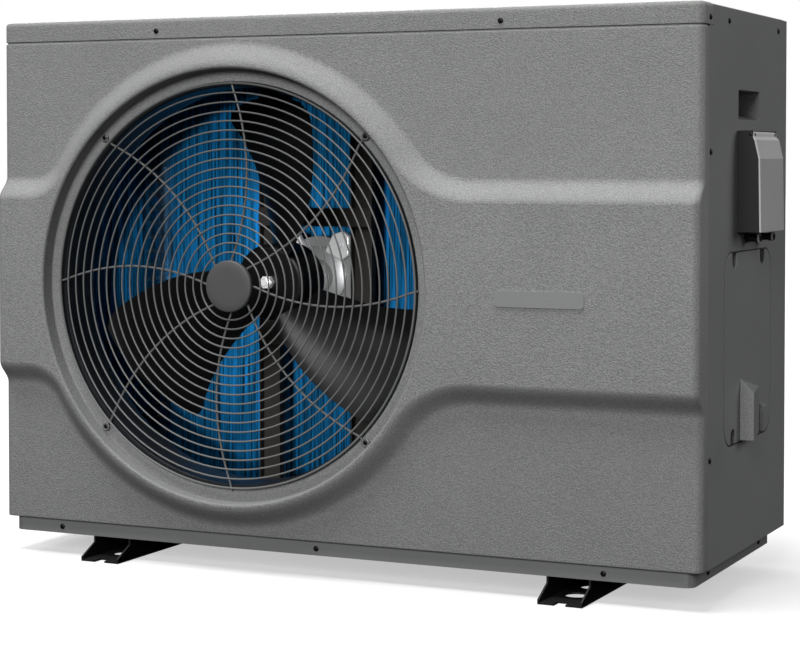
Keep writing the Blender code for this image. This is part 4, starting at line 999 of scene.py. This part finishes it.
def motor_can():
    """The motor's can with cooling ribs round it."""
    can_low, can_high = placed("fan_motor")
    radius = (can_high.x - can_low.x) / 2
    length = can_high.y - can_low.y
    profile = [(0, 0), (radius - 0.0012, 0)]
    ribs, rib_pitch, rib_height = 7, 0.0055, 0.0022
    for index in range(ribs):
        start = 0.003 + rib_pitch * index
        profile += [(radius - rib_height, start), (radius, start + 0.0008), (radius, start + 0.0028),
                    (radius - rib_height, start + 0.0036)]
    profile += [(radius - 0.001, length - 0.009), (radius - 0.009, length), (0, length)]
    solid("motor_can", lathe(profile, (FAN_X, can_low.y, FAN_Z), Y_AXIS, 64), CAST_ALLOY, "cast_alloy",
          stands_for=("fan_motor",))


# ---------------- coil


# The coil's middle line, in plan: back along the left side, round a bend and across the rear
INSET = COIL_T / 2
LINE_X, LINE_Y = coil_low.x + INSET, coil_high.y - INSET
BEND_R = COIL_TURN_R - INSET
STRAIGHT = LINE_Y - BEND_R - coil_low.y
CURVE = BEND_R * math.pi / 2
COIL_LENGTH = STRAIGHT + CURVE + coil_high.x - coil_low.x - INSET - BEND_R


def coil_spot(distance):
    """A point on the coil's middle line, in plan, and the unit direction it runs in there."""
    if distance < STRAIGHT:
        return Vector((LINE_X, coil_low.y + distance)), Vector((0, 1))
    if distance < STRAIGHT + CURVE:
        angle = math.pi - (distance - STRAIGHT) / BEND_R
        middle = Vector((LINE_X + BEND_R, LINE_Y - BEND_R))
        return (middle + BEND_R * Vector((math.cos(angle), math.sin(angle))),
                Vector((math.sin(angle), -math.cos(angle))))
    return Vector((LINE_X + BEND_R + distance - STRAIGHT - CURVE, LINE_Y)), Vector((1, 0))


def fin(bm, distance, low, high, half, fold):
    """One upright fin across the coil, folded into a shallow zigzag."""
    spot, along = coil_spot(distance)
    across = Vector((along.y, -along.x))
    lines = []
    for index in range(FIN_FOLDS + 1):
        offset = COIL_T * (0.5 - index / FIN_FOLDS)
        sway = fold * (1 if index % 2 else -1)
        lines.append(spot + across * offset + along * sway)
    grid = {}
    for index, line in enumerate(lines):
        for side in (-1, 1):
            plan = line + along * half * side
            for level, z in ((0, low), (1, high)):
                grid[index, side, level] = bm.verts.new((plan.x, plan.y, z))
    for index in range(FIN_FOLDS):
        for side in (-1, 1):
            bm.faces.new((grid[index, side, 0], grid[index + 1, side, 0], grid[index + 1, side, 1],
                          grid[index, side, 1]))
        for level in (0, 1):
            bm.faces.new((grid[index, -1, level], grid[index + 1, -1, level], grid[index + 1, 1, level],
                          grid[index, 1, level]))
    for index in (0, FIN_FOLDS):
        bm.faces.new((grid[index, -1, 0], grid[index, 1, 0], grid[index, 1, 1], grid[index, -1, 1]))


def coil():
    low, high = coil_low.z, coil_high.z
    fins = bmesh.new()
    count = int((COIL_LENGTH - 2 * END_ROOM) / FIN_PITCH)
    for index in range(count):
        fin(fins, END_ROOM + FIN_PITCH * (index + 0.5), low, high, FIN_HALF, FIN_SWAY)
    solid("coil_fins", fins, FIN_BLUE, "fin_blue", stands_for=("evaporator_coil",), smooth=60)

    sheets = bmesh.new()
    for distance in (END_ROOM - 0.001, COIL_LENGTH - END_ROOM + 0.001):
        fin(sheets, distance, low, high, 0.0007, 0.0)
    solid("coil_end_sheets", sheets, ZINC, "zinc_steel")

    tubes = bmesh.new()
    rows = int((high - low - 0.024) / TUBE_PITCH)
    reach = END_ROOM - 0.0015
    for lane in (-TUBE_LANE, TUBE_LANE):
        ends = []
        for index in range(rows + 1):
            z = low + TUBE_FOOT + TUBE_PITCH * index + (0 if lane < 0 else TUBE_STAGGER)
            stops = [reach] + [0.2 + 0.012 * step for step in range(12)] + [COIL_LENGTH - reach]
            route = []
            for distance in stops:
                spot, along = coil_spot(distance)
                plan = spot + Vector((along.y, -along.x)) * lane
                route.append(Vector((plan.x, plan.y, z)))
            tube(tubes, route, TUBE_R, 8)
            ends.append((route[0], route[-1]))
        for index in range(rows):
            which = index % 2
            start, end = ends[index][which], ends[index + 1][which]
            out = -Y_AXIS if which == 0 else X_AXIS
            bend = [start + (end - start) * (1 - math.cos(math.pi * step / 8)) / 2
                    + out * TUBE_TURN_OUT * math.sin(math.pi * step / 8) for step in range(9)]
            tube(tubes, bend, TUBE_R + 0.0001, 8)
    solid("coil_tubes", tubes, COPPER, "copper")


# ---------------- right side fittings


def notch(centre, edge, way, half, tall):
    """The U cut into the cover's top edge (way -1) or bottom edge (way 1), in walking order."""
    middle = (centre, edge + way * (tall - half))
    turn = arc(middle, half, 180, 0, 10) if way > 0 else arc(middle, half, 0, -180, 10)
    start, end = (-half, half) if way > 0 else (half, -half)
    return [(centre + start, edge)] + turn + [(centre + end, edge)]


def service_cover():
    (y0, y1), (z0, z1) = COVER_EDGES
    radius = COVER_R - COVER_SLACK
    upper_front, upper_rear, lower = [notch(*catch, NOTCH_HALF, NOTCH_TALL) for catch in CATCHES]
    outline = lower + arc((y1 - radius, z0 + radius), radius, 270, 360, 10)
    outline += arc((y1 - radius, z1 - radius), radius, 0, 90, 10) + upper_rear + upper_front
    outline += arc((y0 + radius, z1 - radius), radius, 90, 180, 10)
    outline += arc((y0 + radius, z0 + radius), radius, 180, 270, 10)
    bm = prism(SIDE_PLANE, outline, (), SIDE_INNER, SIDE_OUTER)
    solid("service_cover", bm, SMOOTH_GREY, "side_grey", stands_for=("access_cover",), soft=0.0004)


def cover_seal():
    """A black rubber strip that fills the gap between the cover and its opening."""
    (y0, y1), (z0, z1) = COVER_EDGES
    wide = rounded((y0 - COVER_SLACK - COVER_GAP, z0 - COVER_SLACK - COVER_GAP),
                   (y1 + COVER_SLACK + COVER_GAP, z1 + COVER_SLACK + COVER_GAP), COVER_R, 10)
    narrow = rounded((y0 - GAP, z0 - GAP), (y1 + GAP, z1 + GAP), COVER_R - COVER_SLACK, 10)
    bm = prism(SIDE_PLANE, wide, [narrow], SIDE_INNER, HALF_W - 0.0001)
    solid("cover_seal", bm, RUBBER, "mount_rubber")


def cover_catches():
    """Shallow pockets behind the cover's three notches, in a darker grey that is painted shade."""
    for index, (y, edge, way) in enumerate(CATCHES):
        shape = notch(y, edge - way * CATCH_LIP, way, NOTCH_HALF + CATCH_LIP, NOTCH_TALL + CATCH_LIP)
        bm = bmesh.new()
        rim = flat_face(bm, SIDE_PLANE, shape, (), SIDE_INNER - CATCH_DEPTH)[0]
        mouth = [bm.verts.new((SIDE_INNER - 0.0002, corner.co.y, corner.co.z)) for corner in rim]
        bridge(bm, rim, mouth)
        shell(f"cover_catch_{index + 1}", bm, POCKET_PAINTED_SHADE, "side_grey", -X_AXIS, -0.0008)


def cover_louvres():
    """Two wedges that stand out towards the front, each under a slanted roof."""
    louvres = ((0.162, 0.252, 0.189, 0.267, 0.018), (0.253, 0.288, 0.1905, 0.229, 0.007))
    for index, (front, back, low, high, proud) in enumerate(louvres):
        bm = bmesh.new()
        seat, tip = SIDE_OUTER - 0.0005, SIDE_OUTER + proud
        feet = ((seat, front, low), (tip, front, low), (seat, back, low))
        heads = ((seat, front, high), (tip, front, high - proud), (seat, back, high - proud))
        lower = [bm.verts.new(spot) for spot in feet]
        upper = [bm.verts.new(spot) for spot in heads]
        bridge(bm, lower, upper)
        bm.faces.new(lower)
        bm.faces.new(upper)
        face_out(bm)
        for wall in bm.faces:
            wall.material_index = 1 if wall.normal.y < -0.9 else 0
        piece(f"cover_louvre_{index + 1}", bm, (SMOOTH_GREY, LEATHER_GREY), "side_grey", soft=(0.0009, 3))


def key_symbol(bm, kind, face, y, z):
    """A small raised mark on a key: a ring with a bar, a square, or an arrow."""
    line_r, ring_r, square = 0.000175, 0.0017, 0.0015
    if kind == "power":
        ring = bow((y, z), (ring_r, ring_r), range(50, -231, -20))
        tube(bm, [Vector((face, v, w)) for v, w in ring], line_r, 6)
        tube(bm, [Vector((face, y, z + 0.0006)), Vector((face, y, z + 0.0022))], line_r, 6)
    elif kind == "mode":
        outline = rounded((y - square, z - square), (y + square, z + square), 0.0004, 2)
        tube(bm, [Vector((face, v, w)) for v, w in outline], line_r, 6, closed=True)
    else:
        way = 1 if kind == "up" else -1
        outline = [(y - 0.0019, z - way * 0.0011), (y + 0.0019, z - way * 0.0011), (y, z + way * 0.0018)]
        prism(SIDE_PLANE, outline, (), face - 0.0001, face + 0.0002, bm)


def keys():
    for kind in ("power", "mode", "down", "up"):
        low, high = placed(f"{kind}_button")
        _, y, z = middle_of(f"{kind}_button")
        radius, length = (high.y - low.y) / 2, high.x - low.x
        profile = [(0, 0), (radius, 0), (radius, length - 0.001), (radius - 0.0003, length - 0.0004),
                   (radius - 0.0009, length), (radius - 0.0016, length - 0.0002), (0, length - 0.0005)]
        bm = lathe(profile, (low.x, y, z), X_AXIS, 40)
        solid(f"key_{kind}", bm, KEY_GREY, "key_grey", body=f"{kind}_key", stands_for=(f"{kind}_button",))
        marks = bmesh.new()
        key_symbol(marks, kind, high.x - 0.0004, y, z)
        solid(f"key_mark_{kind}", marks, SYMBOL_WHITE, "key_grey", body=f"{kind}_key")


def display_outline(inset, radius):
    """Outline of the display's bezel, drawn in by inset."""
    return rounded((0.156 + inset, 0.488 + inset), (0.242 - inset, 0.552 - inset), radius, 5)


def display():
    """The display with its bezel, the screws of its plate and the fittings of the flap's hinge."""
    face = placed("controller_module")[1].x
    seat = face + 0.0001
    bm = prism(SIDE_PLANE, display_outline(0, 0.003), [display_outline(0.004, 0.0015)], seat,
               face + 0.0016)
    solid("display_bezel", bm, HOUSING_BLACK, "housing_black", soft=0.0005)
    bm = prism(SIDE_PLANE, display_outline(0.0044, 0.0013), (), seat, face + 0.0009)
    solid("display_glass", bm, LCD_GLASS, "housing_black")
    for index, y in enumerate((0.1535, 0.244)):
        screw(f"screw_module_{index + 1}", (face, y, 0.46), X_AXIS, size=0.7, turn=20)

    # Hinge pin heads, dark dots at both ends of the flap's barrel
    pin_low, pin_high = placed("controller_hinge_pin")
    centre_x, _, centre_z = middle_of("controller_hinge_pin")
    for index, (y, way) in enumerate(((pin_low.y, -1), (pin_high.y, 1))):
        profile = [(0, 0), (0.0022, 0), (0.0022, 0.0004), (0.0016, 0.0008), (0, 0.0009)]
        bm = lathe(profile, (centre_x, y, centre_z), Y_AXIS * way, 24)
        solid(f"hinge_pin_head_{index + 1}", bm, SCREW_BLACK, "zinc_steel")

    # Two small dark screws in the flap's barrel turn with the flap
    barrel_face = centre_x + 0.0029
    for index, y in enumerate((pin_low.y + 0.0085, pin_high.y - 0.0085)):
        spot = (barrel_face, y, centre_z - 0.0008)
        screw(f"screw_flap_{index + 1}", spot, X_AXIS, body="flap", size=0.62)


def glands():
    for index, node in enumerate(("cable_gland_front", "cable_gland_rear")):
        low, high = placed(node)
        _, y, z = middle_of(node)
        base, length = low.x, high.x - low.x
        bm = prism(SIDE_PLANE, circle((y, z), 0.00675, 6), (), base, base + 0.0032)
        thread = [(GLAND_BORE, 0.0032), (GLAND_THREAD_R, 0.0032)]
        for turn in range(6):
            start = 0.0036 + 0.0014 * turn
            thread += [(GLAND_THREAD_R, start), (GLAND_THREAD_R + 0.0005, start + 0.0005),
                       (GLAND_THREAD_R, start + 0.001)]
        thread += [(0.0046, 0.0122), (GLAND_BORE, 0.0122)]
        lathe(thread, (base, y, z), X_AXIS, 32, bored=True, bm=bm)
        prism(SIDE_PLANE, circle((y, z), 0.0061, 6), [circle((y, z), GLAND_BORE, 24)], base + 0.0124,
              base + length - 0.0033, bm)
        lathe([(GLAND_BORE, length - 0.0034), (0.0052, length - 0.0034), (0.0052, length - 0.0008),
               (0.0044, length), (0.003, length), (GLAND_BORE, length - 0.0006)], (base, y, z), X_AXIS, 32,
              bored=True, bm=bm)
        solid(f"gland_{index + 1}", bm, UNION_BLACK, "union_black", stands_for=(node,), soft=0.00025)
        # A white ring at the gland's end: painted highlight, for light caught by its rim.
        ring = [(0.0053, length - 0.0032), (0.0062, length - 0.0032), (0.0062, length - 0.0012),
                (0.0057, length - 0.0007), (0.0053, length - 0.001)]
        bm = lathe(ring, (base, y, z), X_AXIS, 32, bored=True)
        solid(f"gland_ring_{index + 1}", bm, SYMBOL_WHITE, "key_grey")


# ---------------- water unions


def unions():
    for port in ("inlet", "outlet"):
        low, high = placed(f"water_{port}_union")
        nut_low, nut_high = placed(f"{port}_union_nut")
        x, _, z = middle_of(f"water_{port}_union")
        end, collar_back, nut_end = high.y, nut_low.y - GAP, nut_high.y + GAP
        face, lip = collar_back - COLLAR_T, end - 0.0012
        profile = [(UNION_BORE, low.y), (NECK_R, low.y), (NECK_R, face), (COLLAR_R, face),
                   (COLLAR_R, collar_back - 0.0008), (COLLAR_R - 0.0008, collar_back),
                   (TAIL_R, collar_back), (TAIL_R, nut_end), (RIM_R, nut_end), (RIM_R, lip),
                   (RIM_R - 0.001, end), (SOCKET_R + 0.0012, end), (SOCKET_R, lip),
                   (SOCKET_R, SOCKET_FLOOR), (UNION_BORE, SOCKET_FLOOR)]
        bm = lathe(profile, (x, 0, z), Y_AXIS, 72, bored=True)
        solid(f"{port}_union", bm, UNION_BLACK, "union_black", stands_for=(f"water_{port}_union",))

        outline = []
        for step in range(96):
            degrees = 360 * step / 96
            ridge = 0.5 + 0.5 * math.cos(math.radians(degrees) * NUT_TEETH)
            outline.append(around((x, z), NUT_R + NUT_TOOTH * min(1.0, 1.6 * ridge), degrees))
        bm = prism(FRONT_PLANE, outline, [circle((x, z), 0.0291, 72)], nut_low.y, nut_high.y)
        solid(f"{port}_nut_ribbed", bm, UNION_BLACK, "union_black", body=f"{port}_nut",
              stands_for=(f"{port}_union_nut",), soft=(0.0012, 3))


# ---------------- the rest of the frame


DRESSED = (
    (TRAY_GREY, 0.0008, ("base_tray",)),
    (BLACK_COAT, 0.0009, ("foot_left", "foot_right")),
    (UNION_BLACK, 0.0003, ("drain_nipple",)),
    (ZINC, 0.0003, ("partition_plate",)),
    (ZINC, 0.0006, ("electrical_box",)),
    (ZINC, 0, ("controller_hinge_pin",)),
    (BADGE_SILVER, 0.0004, ("blank_badge",)),
    (POST_BROWN, 0.0004, ("motor_post_left", "motor_post_right", "motor_crossbar_upper",
                          "motor_crossbar_lower")),
    (CAST_ALLOY, 0.0008, ("run_capacitor",)),
    (COPPER, 0.0005, ("coil_header",)),
    (COPPER, 0, ("discharge_pipe", "suction_pipe", "liquid_pipe")),
    (BRASS, 0.001, ("four_way_valve",)),
    (BRASS, 0.0008, ("expansion_valve",)),
    (COMPRESSOR_BLACK, 0.0015, ("compressor",)),
    (COMPRESSOR_BLACK, 0.001, ("accumulator",)),
    (RUBBER, 0.0008, ("compressor_foot_1", "compressor_foot_2", "compressor_foot_3")),
    (EXCHANGER_WHITE, 0.0015, ("heat_exchanger",)),
    (BOARD_GREEN, 0.0003, ("control_board",)),
    (HOUSING_BLACK, 0.0008, ("compressor_terminal_cap",)),
    (HOUSING_BLACK, 0.0006, ("controller_module",)),
    (HOUSING_BLACK, 0.0005, ("controller_box",)),
    (HOUSING_BLACK, 0.0004, ("terminal_block",)),
    (FLAP_GREY, 0.0004, ("controller_flap",)),
)


def dressed_nodes():
    """Finish the CAD nodes that stay in view, with softer edges where a width is given."""
    for finish, edge, nodes in DRESSED:
        for node in nodes:
            shown = frame["nodes"][node]
            shown.data.materials.clear()
            shown.data.materials.append(finish)
            if edge:
                soften(shown, edge)


# ---------------- studio


def sun(name, towards, level, spread):
    """A soft distant light. towards points from the object to the light."""
    lamp = bpy.data.lights.new(name, 'SUN')
    lamp.energy = level * math.pi
    lamp.angle = math.radians(spread)
    holder = in_scene(name, lamp)
    holder.rotation_euler = Vector(towards).to_track_quat('Z', 'Y').to_euler()


def floor_finish():
    """A pale floor that glows a little, so that its shadows stay soft."""
    made = Finish("floor_pale")
    made.tint((0.55, 0.55, 0.55), made.ranged(made.noise(0.8, 2.0), 0.99, 1.01))
    made.shader.inputs["Roughness"].default_value = 0.9
    made.shader.inputs["Specular IOR Level"].default_value = 0.0
    made.shader.inputs["Emission Color"].default_value = (1, 1, 1, 1)
    made.shader.inputs["Emission Strength"].default_value = 0.5
    return made.material


LAMP_RECEIVERS = ("coil_fins", "coil_end", "motor_lug", "motor_bolt", "motor_front", "motor_bearing",
                  "fan_hex_nut", "fan_shaft")
LAMP_BLOCKERS = ("casing_front", "fan_duct", "motor_", "coil_fins")
LAMP_STAND, LAMP_CONE = (0.85, -2.75, 0.15), 11.6


def coil_light():
    """A soft lamp in front of the grille that only the coil and the motor behind the fan take."""
    lamp = bpy.data.lights.new("coil_lamp", 'SPOT')
    lamp.energy = 400
    lamp.spot_size = math.radians(LAMP_CONE)
    lamp.spot_blend = 0.8
    lamp.shadow_soft_size = 0.16
    holder = in_scene("coil_lamp", lamp)
    target = ORIGIN + FAN_CENTRE
    holder.location = target + Vector(LAMP_STAND)
    holder.rotation_euler = (target - holder.location).to_track_quat('-Z', 'Y').to_euler()
    lit = bpy.data.collections.new("lit_by_coil_lamp")
    shading = bpy.data.collections.new("shading_coil_lamp")
    for made in bpy.context.scene.objects:
        if made.name.startswith(LAMP_RECEIVERS):
            lit.objects.link(made)
        if made.name.startswith(LAMP_BLOCKERS):
            shading.objects.link(made)
    holder.light_linking.receiver_collection = lit
    holder.light_linking.blocker_collection = shading


EYE_STAND, EYE_DIP, EYE_TURN = (1.227, -2.4021, 0.5393), 1.783, 25.05
EYE_LENS, EYE_SHIFT = 94.52, -0.12


def camera():
    """The view from the front right. EYE_DIP and EYE_TURN are in degrees."""
    lens = bpy.data.cameras.new("camera")
    lens.lens = EYE_LENS
    lens.sensor_width = 36.0
    lens.shift_y = EYE_SHIFT
    eye = in_scene("camera", lens)
    eye.location = ORIGIN + Vector(EYE_STAND)
    eye.rotation_euler = (math.radians(90 - EYE_DIP), 0, math.radians(EYE_TURN))
    bpy.context.scene.camera = eye


def studio():
    scene = bpy.context.scene
    scene.view_settings.view_transform = 'Standard'
    world = bpy.data.worlds.new("studio")
    scene.world = world
    world.use_nodes = True
    world.node_tree.nodes["Background"].inputs["Color"].default_value = (1, 1, 1, 1)
    world.cycles_visibility.diffuse = False
    world.cycles_visibility.glossy = False

    bm = bmesh.new()
    bmesh.ops.create_circle(bm, cap_ends=True, segments=96, radius=30.0)
    floor = in_scene("floor", mesh_of("floor", bm))
    floor.data.materials.append(floor_finish())
    floor.visible_diffuse = False
    floor.visible_glossy = False

    sun("key", (-0.16, -0.21, 0.964), 0.77, 26)
    sun("front_fill", (0.05, -0.905, 0.423), 0.46, 26)
    sun("camera_fill", (0.42, -0.9, 0.05), 0.1, 50)
    sun("right_fill", (0.72, 0.55, 0.42), 0.28, 40)
    sun("rear", (-0.5, 0.75, 0.45), 0.6, 25)
    coil_light()


def main():
    casing_front()
    casing_lid()
    casing_side()
    rear_and_left()
    casing_screws()
    grille()
    shroud()
    fan_wheel()
    fan_nut()
    fan_shaft()
    motor_shield()
    motor_lugs()
    motor_can()
    coil()
    service_cover()
    cover_seal()
    cover_catches()
    cover_louvres()
    keys()
    display()
    glands()
    unions()
    dressed_nodes()
    studio()
    camera()


main()
